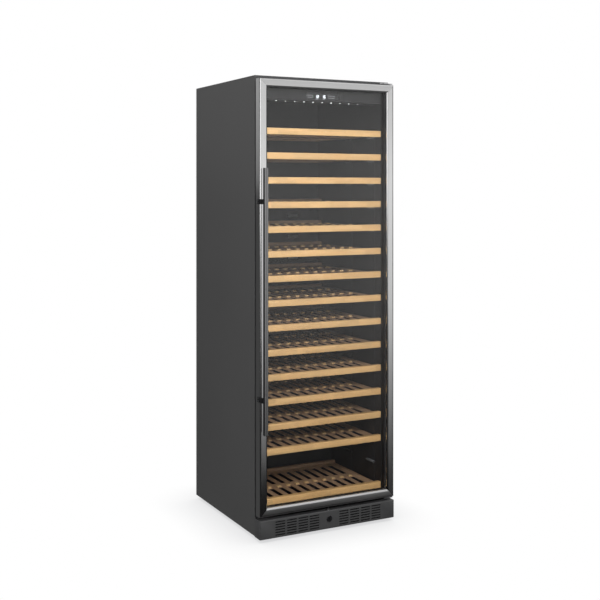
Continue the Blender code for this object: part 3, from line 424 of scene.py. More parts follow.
@dataclass(frozen=True)
class TintedPane(Finish):
    """Tinted float glass: it lets light through straight and mirrors it by its angle."""

    tint: Colour = (0.9, 0.9, 0.9)
    mirror: Colour = (0.94, 0.94, 0.94)
    index: float = 1.3

    def compose(self, graph: Graph) -> None:
        """Builds the tree: a tinted clear shader and a mirror, mixed by Fresnel."""
        through = graph.node("ShaderNodeBsdfTransparent", None, {"Color": self.tint})
        smear = graph.noise(graph.place, 2.5, 3.0)
        mirror = graph.node("ShaderNodeBsdfGlossy", None, {"Color": self.mirror, "Roughness": 0.03})
        weight = Value(graph, graph.node("ShaderNodeFresnel", None, {"IOR": self.index}).outputs[0])
        shares = {0: weight * (0.9 + 0.2 * smear), 1: through.outputs[0], 2: mirror.outputs[0]}
        graph.close(graph.node("ShaderNodeMixShader", None, shares))


@dataclass(frozen=True)
class Lit(Finish):
    """A lens or a mark that gives light."""

    glow: float = 3.0

    def detail(self, graph: Graph) -> dict:
        """Returns the light, a little uneven over the lens."""
        cloud = graph.noise(graph.place, 500.0, 1.0)
        return {
            "Emission Color": graph.blend(cloud, self.shade(0.85), self.colour),
            "Emission Strength": self.glow,
        }


class Finishes:
    """Every finish of the cooler, by the slot of the record."""

    side_paint = PowderPaint("side_paint", (0.036, 0.036, 0.036), 0.46)
    plinth_paint = PowderPaint("plinth_paint", (0.029, 0.029, 0.0295), 0.45, relief=700.0, depth=0.00005)
    top_paint = PowderPaint("side_paint", (0.009, 0.009, 0.009), 0.5, label="top_dark", specular=0.25)
    zinc_sheet = ZincSheet("zinc_sheet", (0.50, 0.51, 0.52), 0.45, 1.0)
    liner = MouldedPlastic("liner_plastic", (0.022, 0.022, 0.023), 0.5, relief=1100.0)
    black = MouldedPlastic("black_plastic", (0.010, 0.010, 0.011), 0.45)
    spacer = MouldedPlastic("spacer_black", (0.085, 0.085, 0.088), 0.4)
    # Near-black for the mitre gaps and the plinth's hollow: painted shade.
    gap_shade = MouldedPlastic("black_plastic", (0.0025, 0.0025, 0.0025), 0.8, label="shade_black", specular=0.1)
    foot = MouldedPlastic("foot_plastic", (0.020, 0.020, 0.021), 0.6, relief=600.0)
    fascia = MouldedPlastic("fascia_plastic", (0.021, 0.021, 0.0215), 0.38, relief=1600.0, depth=0.00002)
    clip = MouldedPlastic("clip_plastic", (0.17, 0.175, 0.18), 0.5, label="clip_light")
    strip = MouldedPlastic("clip_plastic", (0.028, 0.028, 0.030), 0.5, label="strip_dark")
    foam = Rubber("foam", (0.75, 0.66, 0.42), 0.9, relief=320.0, depth=0.0004)
    seal = Rubber("seal_rubber", (0.016, 0.016, 0.017), 0.7)
    lock = PlatedSteel("lock_black", (0.006, 0.006, 0.0065), 0.2, 0.0, coat=0.3)
    machine = PowderPaint("machine_black", (0.015, 0.015, 0.016), 0.35, coat=0.3)
    chrome = PlatedSteel("chrome", (0.75, 0.75, 0.76), 0.12, 1.0)
    hinge = PlatedSteel("hinge_steel", (0.55, 0.55, 0.56), 0.28, 1.0)
    aluminium = BrushedMetal("aluminium", (0.70, 0.71, 0.72), 0.38, 1.0, grain=Grain.ACROSS)
    # One brushed steel in two copies: the stiles' lighter colour than the rails' is painted sheen.
    steel_up = BrushedMetal("brushed_steel", (0.67, 0.67, 0.67), 0.15, 1.0, grain=Grain.UP, label="steel_up")
    steel_across = BrushedMetal(
        "brushed_steel", (0.62, 0.62, 0.62), 0.33, 1.0, grain=Grain.ACROSS, label="steel_across",
    )
    handle = BrushedMetal("handle_black", (0.26, 0.26, 0.26), 0.26, 1.0, grain=Grain.UP, label="handle_satin")
    neck = BrushedMetal("handle_black", (0.45, 0.45, 0.45), 0.30, 1.0, grain=Grain.DEEP, label="neck_satin")
    bracket = PowderPaint("handle_black", (0.006, 0.006, 0.0065), 0.6, label="bracket_black", specular=0.12)
    display = MouldedPlastic("display_glass", (0.018, 0.018, 0.020), 0.12, coat=0.6, depth=0.000005)
    lens = Lit("light_lens", (0.05, 0.052, 0.055), 0.35, glow=0.02, label="light_strip")
    lamp = Lit("light_lens", (0.95, 0.97, 1.0), 0.25, glow=6.0, label="lamp")
    digit = Lit("light_lens", (0.92, 0.95, 1.0), 0.3, glow=1.3, label="digit")
    icon = Lit("light_lens", (0.80, 0.82, 0.85), 0.3, glow=0.6, label="icon")
    signal = Lit("light_lens", (0.25, 0.9, 0.35), 0.3, glow=0.6, label="signal")
    # One beech in four tones: the decks and the rear pieces are darker and the tabs lighter than the rails, which
    # is painted shade and painted highlight.
    rail = Beech("beech", (0.80, 0.51, 0.225), 0.42, coat=0.12, grain=Grain.ACROSS, label="beech_across")
    slat = Beech(
        "beech", (0.36, 0.235, 0.145), 0.5, coat=0.05, grain=Grain.DEEP, stave=0.32, label="beech_deep",
    )
    slat_across = Beech("beech", (0.30, 0.20, 0.125), 0.5, coat=0.05, grain=Grain.ACROSS, label="beech_rear")
    tab = Beech("beech", (0.56, 0.38, 0.19), 0.5, coat=0.05, grain=Grain.DEEP, stave=0.32, label="beech_tab")
    # Near-black sheets on the slot walls: painted shade.
    dark_slot_shade = Beech("beech", (0.012, 0.012, 0.017), 0.8, grain=Grain.DEEP, label="beech_slot_shade", specular=0.1)
    pane = TintedPane("tinted_glass", (0.10, 0.11, 0.13), tint=(0.97, 0.97, 0.97))


# ---------------------------------------------------------------- bench


class Bench:
    """The shaping tools that every sub-assembly uses."""

    @staticmethod
    def block(bm: bmesh.types.BMesh, low: Sequence[float], high: Sequence[float]) -> list[bmesh.types.BMVert]:
        """Adds a box between two corners.

        Args:
            bm: The mesh that is worked on.
            low: The box's lowest corner.
            high: The box's highest corner.

        Returns:
            The box's corners.
        """
        low, high = Vector(low), Vector(high)
        size = Matrix.Diagonal((*(high - low), 1.0))
        place = Matrix.Translation((low + high) / 2)
        return bmesh.ops.create_cube(bm, size=1.0, matrix=place @ size)["verts"]

    @staticmethod
    def spans(edge: bmesh.types.BMEdge) -> Vector:
        """Returns how far an edge reaches along each axis."""
        return Vector([abs(part) for part in edge.verts[0].co - edge.verts[1].co])

    @staticmethod
    def soften(bm: bmesh.types.BMesh, edges: Iterable[bmesh.types.BMEdge], width: float,
               segments: int = 2) -> None:
        """Rounds edges."""
        bmesh.ops.bevel(
            bm, geom=list(edges), offset=width, offset_type="OFFSET", affect="EDGES",
            segments=segments, profile=0.5, material=-1, clamp_overlap=True,
        )

    @classmethod
    def soft_block(cls, bm: bmesh.types.BMesh, low: Sequence[float], high: Sequence[float], width: float,
                   segments: int = 2) -> None:
        """Adds a box between two corners with all its edges rounded."""
        corners = cls.block(bm, low, high)
        cls.soften(bm, {edge for corner in corners for edge in corner.link_edges}, width, segments)

    @staticmethod
    def rod(bm: bmesh.types.BMesh, radius: float, length: float, centre: Point, axis: str = "Z",
            sides: int = 24) -> list[bmesh.types.BMVert]:
        """Adds a capped cylinder round a centre along an axis, and returns its corners."""
        turns = {"X": Matrix.Rotation(math.pi / 2, 4, "Y"), "Y": Matrix.Rotation(math.pi / 2, 4, "X")}
        matrix = Matrix.Translation(centre) @ turns.get(axis, Matrix.Identity(4))
        made = bmesh.ops.create_cone(
            bm, cap_ends=True, segments=sides, radius1=radius, radius2=radius, depth=length, matrix=matrix,
        )
        return made["verts"]

    @staticmethod
    def turned(bm: bmesh.types.BMesh, profile: Sequence[tuple[float, float]], centre: Point,
               axis: str = "Z", steps: int = 48) -> None:
        """Spins a profile of (radius, height) round an axis through a centre.

        Args:
            bm: The mesh that is worked on.
            profile: The half section, which starts and ends on the axis or closes on itself.
            centre: Where the profile's zero height lies on the axis.
            axis: The axis that it turns about, whose positive side is the profile's top.
            steps: How many steps make the full turn.
        """
        before = set(bm.verts)
        points = [bm.verts.new((radius, 0.0, height)) for radius, height in profile]
        edges = [bm.edges.new(pair) for pair in zip(points, points[1:])]
        bmesh.ops.spin(
            bm, geom=points + edges, cent=(0, 0, 0), axis=(0, 0, 1), angle=2 * math.pi, steps=steps,
            use_merge=True,
        )
        made = [vert for vert in bm.verts if vert not in before]
        bmesh.ops.remove_doubles(bm, verts=made, dist=TINY)
        live = [vert for vert in bm.verts if vert not in before]
        turns = {
            "X": Matrix.Rotation(math.pi / 2, 4, "Y"), "-X": Matrix.Rotation(-math.pi / 2, 4, "Y"),
            "Y": Matrix.Rotation(-math.pi / 2, 4, "X"), "-Y": Matrix.Rotation(math.pi / 2, 4, "X"),
        }
        matrix = Matrix.Translation(centre) @ turns.get(axis, Matrix.Identity(4))
        bmesh.ops.transform(bm, matrix=matrix, verts=live)

    @staticmethod
    def piece(bm: bmesh.types.BMesh, name: str, body: str, finish: Finish, replaces: Sequence[str] = (),
              angle: float = 32.0) -> bpy.types.Object:
        """Makes a finished piece of a mesh.

        Args:
            bm: The mesh, which this frees.
            name: The piece's name.
            body: The body of the frame that the piece moves with.
            finish: The piece's finish.
            replaces: The nodes that the piece stands for.
            angle: The angle in degrees up to which the surface is shaded smooth.

        Returns:
            The piece.
        """
        bmesh.ops.recalc_face_normals(bm, faces=bm.faces)
        mesh = bpy.data.meshes.new(name)
        bm.to_mesh(mesh)
        bm.free()
        mesh.shade_smooth()
        mesh.set_sharp_from_angle(angle=math.radians(angle))
        mesh.materials.append(finish.material())
        obj = bpy.data.objects.new(name, mesh)
        bpy.context.scene.collection.objects.link(obj)
        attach(obj, body)
        if replaces:
            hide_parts(*replaces)
        LOG.info("%s rides on %s", name, body)
        return obj

    @staticmethod
    def dress(node: str, finish: Finish) -> None:
        """Gives a node of the frame a finish."""
        mesh = frame["nodes"][node].data
        mesh.materials.clear()
        mesh.materials.append(finish.material())
        LOG.info("%s dressed as %s", node, finish.slot)


# ---------------------------------------------------------------- shelves


@dataclass
class BottleShelf:
    """One slotted beech shelf. Sizes are from under the face of its front rail."""

    rail_tall: float = 25.0 * MM
    rail_thick: float = 20.0 * MM
    rail_round: float = 1.6 * MM
    rail_chamfer: float = 3.0 * MM
    deck_inset: float = 10.5 * MM
    deck_rise: float = 4.3 * MM
    deck_thick: float = 14.0 * MM
    rear_thick: float = 14.0 * MM
    rear_band: float = 36.7 * MM
    slots: int = 11
    slot_wide: float = 18.5 * MM
    side_board: float = 28.5 * MM
    first_slot: float = 26.3 * MM
    front_slot: float = 105.0 * MM
    rear_slot: float = 130.0 * MM
    band: float = 57.0 * MM
    tab_rise: float = 5.0 * MM
    tab_long: float = 15.0 * MM
    tab_inset: float = 9.0 * MM
    batten_drop: float = 3.4 * MM
    # Thickness of the near-black sheets that paint the shade on the slot walls.
    wall_shade_thick: float = 0.3 * MM

    def rows(self, end: float) -> list[tuple[float, float]]:
        """Returns the front and the back of each row of slots, up to an end."""
        rows = [(self.first_slot, self.first_slot + self.front_slot)]
        while rows[-1][1] + self.band + self.slot_wide < end:
            start = rows[-1][1] + self.band
            rows.append((start, min(start + self.rear_slot, end)))
        return rows

    def lanes(self, half: float) -> list[tuple[float, float]]:
        """Returns the left and the right of each slot of a deck's half width."""
        pitch = (2 * half - 2 * self.side_board) / self.slots
        middles = [(index - (self.slots - 1) / 2) * pitch for index in range(self.slots)]
        return [(x - self.slot_wide / 2, x + self.slot_wide / 2) for x in middles]

    def rail(self, bm: bmesh.types.BMesh, half: float) -> None:
        """Adds the front rail, its upright corners cut and its long edges rounded."""
        corners = Bench.block(bm, (-half, 0.0, 0.0), (half, self.rail_thick, self.rail_tall))
        upright = [
            edge for corner in corners if corner.co.y < self.rail_thick / 2
            for edge in corner.link_edges if Bench.spans(edge).z > self.rail_tall / 2
        ]
        Bench.soften(bm, set(upright), self.rail_chamfer, 3)
        long_edges = [
            edge for edge in bm.edges
            if Bench.spans(edge).z < TINY and len(edge.link_faces) == 2 and edge.calc_face_angle(0.0) > 1.0
            and edge.verts[0].co.y + edge.verts[1].co.y < 2 * self.rail_thick
        ]
        Bench.soften(bm, long_edges, self.rail_round, 3)

    def deck(self, bm: bmesh.types.BMesh, half: float, depth: float) -> None:
        """Adds the slats that run front to back, the blocks between them and the tabs that stop a bottle."""
        low, top = self.deck_rise, self.deck_rise + self.deck_thick
        start, end = self.rail_thick, depth - self.rear_thick
        rows = self.rows(end - self.rear_band)
        edges = [-half, *[x for lane in self.lanes(half) for x in lane], half]
        for left, right in zip(edges[::2], edges[1::2]):
            Bench.soft_block(bm, (left, start, low), (right, end, top), 1.0 * MM, 2)
        bands = list(zip([start, *[row[1] for row in rows]], [*[row[0] for row in rows], end]))
        for left, right in self.lanes(half):
            for front, back in bands:
                Bench.soft_block(bm, (left, front, low + 0.5 * MM), (right, back, top - 0.5 * MM), 0.5 * MM, 1)

    def line_slots_with_shade(self, bm: bmesh.types.BMesh, half: float, depth: float) -> None:
        """Adds near-black sheets down both sides and the rear end of every slot: painted shade on the slot walls.
        """
        low, top = self.deck_rise + 0.8 * MM, self.deck_rise + self.deck_thick - 0.8 * MM
        rows = self.rows(depth - self.rear_thick - self.rear_band)
        for left, right in self.lanes(half):
            for front, back in rows:
                for x in (left, right - self.wall_shade_thick):
                    Bench.block(bm, (x, front, low), (x + self.wall_shade_thick, back - self.wall_shade_thick, top))
                Bench.block(bm, (left, back - self.wall_shade_thick, low), (right, back, top))

    def tabs(self, bm: bmesh.types.BMesh, half: float, depth: float) -> None:
        """Adds the raised tabs in line with the slots, at the front of each band behind a row."""
        top = self.deck_rise + self.deck_thick
        rows = self.rows(depth - self.rear_thick - self.rear_band)
        for left, right in self.lanes(half):
            for _, back in rows[:-1]:
                front = back + self.tab_inset
                Bench.soft_block(
                    bm, (left + 1.0 * MM, front, top - 1.0 * MM),
                    (right - 1.0 * MM, front + self.tab_long, top + self.tab_rise), 1.2 * MM, 2,
                )

    def cross_pieces(self, bm: bmesh.types.BMesh, half: float, depth: float, rear_top: float) -> None:
        """Adds the raised rear rail and the battens under the bands."""
        low = self.deck_rise
        Bench.soft_block(bm, (-half, depth - self.rear_thick, low), (half, depth, rear_top), 1.5 * MM, 2)
        rows = self.rows(depth - self.rear_thick - self.rear_band)
        for _, back in rows:
            middle = back + self.rear_band / 2
            Bench.soft_block(
                bm, (-half + self.side_board, middle - 9.0 * MM, low - self.batten_drop),
                (half - self.side_board, middle + 9.0 * MM, low), 0.6 * MM, 1,
            )

    def build(self) -> None:
        """Builds every shelf of the frame around its own node's box."""
        for node in sorted(name for name in frame["nodes"] if name.removeprefix("shelf_").isdigit()):
            low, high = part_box(node)
            half, depth, rear_top = high.x, high.y - low.y, high.z - low.z
            deck_half = half - self.deck_inset
            place = Vector((0.0, low.y, low.z))
            makers = {
                "rail": (Finishes.rail, self.rail, (half,)),
                "deck": (Finishes.slat, self.deck, (deck_half, depth)),
                "tabs": (Finishes.tab, self.tabs, (deck_half, depth)),
                # "slots" holds the near-black sheets that paint the shade on the slot walls.
                "slots": (Finishes.dark_slot_shade, self.line_slots_with_shade, (deck_half, depth)),
                "back": (Finishes.slat_across, self.cross_pieces, (deck_half, depth, rear_top)),
            }
            for part, (finish, make, sizes) in makers.items():
                bm = bmesh.new()
                make(bm, *sizes)
                bmesh.ops.translate(bm, verts=bm.verts, vec=place)
                Bench.piece(bm, f"{node}_{part}", node, finish, (node,))


# ---------------------------------------------------------------- door


@dataclass
class DoorFrame:
    """Four mitred members of brushed profile round the panes."""

    wide: float = 32.0 * MM
    outer_round: float = 9.0 * MM
    inner_bevel: float = 5.5 * MM
    nose_round: float = 0.5 * MM
    lip: float = 9.7 * MM
    rebate: float = 20.0 * MM
    thick: float = 36.0 * MM
    gap: float = 0.3 * MM
    seam_recess: float = 0.15 * MM
    arc_steps: int = 12
    seat_clear: float = 0.3 * MM
    strike: tuple[float, float] = (5.2 * MM, 14.5 * MM)
    strike_half: float = 4.0 * MM
    strike_deep: float = 12.0 * MM
    pin_bore: float = 4.3 * MM
    seam_share: float = 0.9

    def profile(self) -> list[tuple[float, float]]:
        """Returns the section as (inwards from the outer edge, back from the face)."""
        arc = []
        for step in range(self.arc_steps + 1):
            angle = math.pi / 2 * step / self.arc_steps
            arc.append((self.outer_round * (1 - math.cos(angle)), self.outer_round * (1 - math.sin(angle))))
        start, r = self.wide - self.inner_bevel, self.nose_round
        turn = ((-1.0, 0.0), (-0.4, 0.1), (0.1, 0.35), (0.7, 0.7))
        nose = [(start + r * inwards, r * back) for inwards, back in turn]
        foot = [(self.wide - 0.1 * r, self.inner_bevel - 0.1 * r), (self.wide, self.inner_bevel + 0.3 * r)]
        tail = [(self.wide, self.lip), (self.rebate, self.lip), (self.rebate, self.thick), (0.0, self.thick)]
        return [*arc, *nose, *foot, *tail]

    def member(self, face: float, ends: Sequence, name: str, finish: Finish) -> bpy.types.Object:
        """Extrudes the section between two mitred ends.

        Args:
            face: The Y of the door's face.
            ends: Two functions from an inset to the (x, z) of that end.
            name: The node that the member stands for.
            finish: The member's finish.

        Returns:
            The member.
        """
        bm = bmesh.new()
        profile = self.profile()
        near = [bm.verts.new((ends[0](u)[0], face + v, ends[0](u)[1])) for u, v in profile]
        cap = bm.faces.new(near)
        made = bmesh.ops.extrude_face_region(bm, geom=[cap])["geom"]
        insets = {tuple(round(part, 7) for part in vert.co): point for vert, point in zip(near, profile)}
        for vert in (item for item in made if isinstance(item, bmesh.types.BMVert)):
            u, v = insets[tuple(round(part, 7) for part in vert.co)]
            x, z = ends[1](u)
            vert.co = (x, face + v, z)
        return Bench.piece(bm, f"{name}_profile", "door", finish, (name,), 24.0)

    def build(self) -> None:
        """Builds the two stiles and the two rails, and cuts them for what passes through them."""
        low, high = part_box("door_stile_left")[0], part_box("door_stile_right")[1]
        face, bottom, top, half = low.y, low.z, high.z, high.x
        gap = self.gap

        def stile(side: float, level: float, inwards: float) -> object:
            """Returns a stile's end as a function from an inset to (x, z)."""
            return lambda u: (side * (half - u), level + inwards * (u + gap))

        def rail(side: float, level: float, inwards: float) -> object:
            """Returns a rail's end as a function from an inset to (x, z)."""
            return lambda u: (side * (half - u - gap), level + inwards * u)

        self.mitre_gap_shade(face, bottom, top, half)
        up, across = Finishes.steel_up, Finishes.steel_across
        left = self.member(face, (stile(-1, bottom, 1), stile(-1, top, -1)), "door_stile_left", up)
        right = self.member(face, (stile(1, bottom, 1), stile(1, top, -1)), "door_stile_right", up)
        upper = self.member(face, (rail(-1, top, -1), rail(1, top, -1)), "door_rail_top", across)
        lower = self.member(face, (rail(-1, bottom, 1), rail(1, bottom, 1)), "door_rail_bottom", across)
        for bracket in ("handle_bracket_upper", "handle_bracket_lower"):
            self.seat(left, *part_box(bracket))
        hinge = next(joint for joint in frame["joints"] if joint["name"] == "door_swing")
        x, y = hinge["pos_m"][:2]
        for level, rail_piece in ((top, upper), (bottom, lower)):
            for piece in (right, rail_piece):
                self.bore(piece, (x, y, level), self.pin_bore)
        front, rear = self.strike
        bm = bmesh.new()
        Bench.block(bm, (-self.strike_half, face + front, bottom - self.strike_deep),
                    (self.strike_half, face + rear, bottom + self.strike_deep))
        self.cut(lower, bm)

    def mitre_gap_shade(self, face: float, bottom: float, top: float, half: float) -> None:
        """Fills the four mitre joints with a near-black plate, just under the flat of the face: painted shade in
        the gap.
        """
        bm = bmesh.new()
        first, last = self.outer_round, self.wide - self.inner_bevel - self.nose_round
        reach, middle = (last - first) / math.sqrt(2.0), (first + last) / 2
        thin = self.gap / 2 * self.seam_share
        for side in (-1, 1):
            for level, inwards in ((bottom, 1), (top, -1)):
                corners = Bench.block(bm, (-reach, 0.0, -thin), (reach, self.lip / 2, thin))
                turn = Matrix.Rotation(side * inwards * math.radians(45.0), 4, "Y")
                centre = (side * (half - middle), face + self.seam_recess, level + inwards * middle)
                bmesh.ops.transform(bm, matrix=Matrix.Translation(centre) @ turn, verts=corners)
        Bench.piece(bm, "door_mitre_shade_plates", "door", Finishes.gap_shade)

    def seat(self, member: bpy.types.Object, low: Vector, high: Vector) -> None:
        """Cuts the seat of a bracket into a member."""
        room = Vector((self.seat_clear,) * 3)
        bm = bmesh.new()
        Bench.block(bm, low - room - Vector((self.wide, 0.0, 0.0)), high + room)
        self.cut(member, bm)

    def bore(self, member: bpy.types.Object, centre: Point, radius: float) -> None:
        """Bores an upright hole into a member."""
        bm = bmesh.new()
        Bench.rod(bm, radius, 2 * self.wide, centre, "Z", 32)
        self.cut(member, bm)

    @staticmethod
    def cut(member: bpy.types.Object, bm: bmesh.types.BMesh) -> None:
        """Takes a shape away from a member for good."""
        mesh = bpy.data.meshes.new("cutter")
        bmesh.ops.recalc_face_normals(bm, faces=bm.faces)
        bm.to_mesh(mesh)
        bm.free()
        cutter = bpy.data.objects.new("cutter", mesh)
        bpy.context.scene.collection.objects.link(cutter)
        modifier = member.modifiers.new("cut", "BOOLEAN")
        modifier.operation = "DIFFERENCE"
        modifier.solver = "EXACT"
        modifier.object = cutter
        bpy.context.view_layer.update()
        graph = bpy.context.evaluated_depsgraph_get()
        finished = bpy.data.meshes.new_from_object(member.evaluated_get(graph))
        finished.name = member.data.name
        member.modifiers.clear()
        member.data = finished
        bpy.data.objects.remove(cutter, do_unlink=True)


@dataclass
class BarHandle:
    """The square black bar with a satin strip down its front, its two brackets and their screws."""

    corner: float = 1.2 * MM
    rim: float = 0.4 * MM
    face: float = 3.2 * MM
    groove_wide: float = 3.0 * MM
    groove_deep: float = 1.6 * MM
    neck_long: float = 9.0 * MM
    neck_inset: float = 2.5 * MM
    screw_r: float = 2.1 * MM
    screw_apart: float = 11.0 * MM
    screw_rise: float = 0.5 * MM

    def build(self) -> None:
        """Builds the bar, the brackets and four screws."""
        low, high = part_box("handle_bar")
        bm = bmesh.new()
        wide = high.x - low.x
        middle = (low.x + high.x) / 2
        back = low.y + self.face
        path = [
            (low.x, back), (low.x, low.y), (middle - self.groove_wide / 2, low.y),
            (middle - self.groove_wide / 4, low.y + self.groove_deep),
            (middle + self.groove_wide / 4, low.y + self.groove_deep),
            (middle + self.groove_wide / 2, low.y), (high.x, low.y), (high.x, back),
        ]
        section = bm.faces.new([bm.verts.new((x, y, low.z)) for x, y in path])
        made = bmesh.ops.extrude_face_region(bm, geom=[section])["geom"]
        tops = [item for item in made if isinstance(item, bmesh.types.BMVert)]
        bmesh.ops.translate(bm, verts=tops, vec=(0.0, 0.0, high.z - low.z))
        corners = [
            edge for edge in bm.edges
            if abs(abs(edge.verts[0].co.x - middle) - wide / 2) < TINY
            and max(Bench.spans(edge).xy) < TINY
        ]
        Bench.soften(bm, corners, self.corner, 4)
        Bench.soften(bm, [edge for edge in bm.edges if Bench.spans(edge).z < TINY], self.rim, 1)
        Bench.piece(bm, "handle_bar_satin", "door", Finishes.handle, ("handle_bar",), 30.0)
        bm = bmesh.new()
        Bench.soft_block(bm, (low.x, back, low.z), high, 0.5 * MM, 2)
        Bench.piece(bm, "handle_bar_core", "door", Finishes.bracket, ("handle_bar",), 30.0)
        for node in ("handle_bracket_upper", "handle_bracket_lower"):
            self.bracket(node)

    def bracket(self, node: str) -> None:
        """Builds one bracket, its satin neck and the two screws on the door's edge."""
        low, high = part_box(node)
        neck = low.y + self.neck_long
        inset = self.neck_inset
        bm = bmesh.new()
        Bench.soft_block(bm, (low.x, neck, low.z), high, 0.5 * MM, 2)
        Bench.piece(bm, f"{node}_plate", "door", Finishes.bracket, (node,))
        bm = bmesh.new()
        Bench.soft_block(bm, (low.x + inset, low.y, low.z + inset), (high.x, neck, high.z - inset), 0.5 * MM, 2)
        Bench.piece(bm, f"{node}_neck", "door", Finishes.neck, (node,))
        bm = bmesh.new()
        level = (low.z + high.z) / 2
        behind = high.y - 6.0 * MM
        for sign in (-1, 1):
            centre = (low.x + 0.2 * MM, behind, level + sign * self.screw_apart / 2)
            Bench.turned(bm, self.screw_profile(), centre, "-X", 20)
        Bench.piece(bm, f"{node}_screws", "door", Finishes.hinge)

    def screw_profile(self) -> list[tuple[float, float]]:
        """Returns a low domed head with a hex socket's rim, from its top middle to its bottom middle."""
        rise, r = self.screw_rise, self.screw_r
        socket, root = -0.4 * MM, -0.6 * MM
        return [(0.0, socket), (r * 0.45, socket), (r * 0.5, rise), (r * 0.8, rise * 0.8), (r, 0.0), (r, root),
                (0.0, root)]


# ---------------------------------------------------------------- controls


@dataclass
class ControlMarks:
    """The lamps and the plain marks of the control fascia: two numbers, dots and bars."""

    digit_tall: float = 11.0 * MM
    digit_wide: float = 7.4 * MM
    stroke: float = 1.7 * MM
    digit_gap: float = 2.0 * MM
    raise_out: float = 0.15 * MM
    readings: tuple[str, str] = ("12", "16")
    reading_x: tuple[float, float] = (-36.0 * MM, -6.5 * MM)
    level: float = 18.5 * MM
    mark_x: tuple[float, float] = (-76.0 * MM, 21.0 * MM)
    mark_columns: int = 4
    mark_pitch: float = 8.5 * MM
    mark_rise: float = 8.0 * MM
    bar_long: float = 4.5 * MM
    dot_r: float = 1.0 * MM
    signal_x: float = -43.5 * MM
    signal_r: float = 0.9 * MM
    lamps: int = 10
    lamp_pitch: float = 40.7 * MM
    lamp_r: float = 1.9 * MM

    SEGMENTS = {
        "0": "abcdef", "1": "bc", "2": "abged", "3": "abgcd", "4": "fgbc",
        "5": "afgcd", "6": "afgedc", "7": "abc", "8": "abcdefg", "9": "abcdfg",
    }

    def stroke_boxes(self, sign: str) -> list[tuple[float, float, float, float]]:
        """Returns the strokes of a digit as (left, bottom, right, top) from its lower left corner."""
        w, h, s = self.digit_wide, self.digit_tall, self.stroke
        places = {
            "a": (0.0, h - s, w, h), "g": (0.0, (h - s) / 2, w, (h + s) / 2), "d": (0.0, 0.0, w, s),
            "f": (0.0, h / 2, s, h), "b": (w - s, h / 2, w, h),
            "e": (0.0, 0.0, s, h / 2), "c": (w - s, 0.0, w, h / 2),
        }
        return [places[letter] for letter in self.SEGMENTS[sign]]

    def build(self) -> None:
        """Builds the numbers, the small marks, the lens strip and the lamps."""
        low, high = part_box("display_panel")
        face = low.y - self.raise_out
        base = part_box("control_fascia")[0].z + self.level - self.digit_tall / 2
        bm = bmesh.new()
        for text, left in zip(self.readings, self.reading_x):
            for index, sign in enumerate(text):
                x = left + index * (self.digit_wide + self.digit_gap)
                inset = self.raise_out
                for x0, z0, x1, z1 in self.stroke_boxes(sign):
                    corner = (x + x0 + inset, face, base + z0 + inset)
                    Bench.block(bm, corner, (x + x1 - inset, low.y + inset, base + z1 - inset))
        Bench.piece(bm, "display_numbers", "cabinet", Finishes.digit)
        self.small_marks(face, low.y, base)
        self.light_strip()

    def small_marks(self, face: float, back: float, base: float) -> None:
        """Adds short bars and dots either side of the numbers, and one green dot."""
        bm = bmesh.new()
        root = 0.1 * MM
        thick, middle = back - face + root, (face + back) / 2
        for first, start in enumerate(self.mark_x):
            for column in range(self.mark_columns):
                for row in range(2):
                    x = start + column * self.mark_pitch
                    z = base + row * self.mark_rise + 1.0 * MM
                    if (column + row + first) % 2:
                        Bench.block(bm, (x, face, z - 0.5 * MM), (x + self.bar_long, back + root, z + 0.5 * MM))
                    else:
                        Bench.rod(bm, self.dot_r, thick, (x + 2 * self.dot_r, middle, z), "Y", 12)
        for left in self.reading_x:
            low = (left + 3.0 * MM, face, base - 4.6 * MM)
            Bench.block(bm, low, (left + 13.5 * MM, back + root, base - 3.6 * MM))
        Bench.piece(bm, "display_marks", "cabinet", Finishes.icon)
        bm = bmesh.new()
        Bench.rod(bm, self.signal_r, thick, (self.signal_x, middle, base + 5.0 * MM), "Y", 14)
        Bench.piece(bm, "display_signal", "cabinet", Finishes.signal)

    def light_strip(self) -> None:
        """Builds the lens strip under the control box and its ten lamps."""
        low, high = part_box("interior_light_bar")
        depth = (low.y + high.y) / 2
        lens_bottom = low.z + 2.0 * MM
        bm = bmesh.new()
        Bench.soft_block(bm, (low.x, low.y, lens_bottom), high, 0.6 * MM, 2)
        Bench.piece(bm, "light_strip_lens", "cabinet", Finishes.lens, ("interior_light_bar",))
        bm = bmesh.new()
        for index in range(self.lamps):
            x = (index - (self.lamps - 1) / 2) * self.lamp_pitch
            made = bmesh.ops.create_uvsphere(bm, u_segments=16, v_segments=10, radius=self.lamp_r)["verts"]
            bmesh.ops.scale(bm, vec=(1.0, 1.0, 0.75), verts=made)
            bmesh.ops.translate(bm, vec=(x, depth, lens_bottom), verts=made)
        Bench.piece(bm, "light_strip_lamps", "cabinet", Finishes.lamp, angle=60.0)


# ---------------------------------------------------------------- supports, plinth, feet


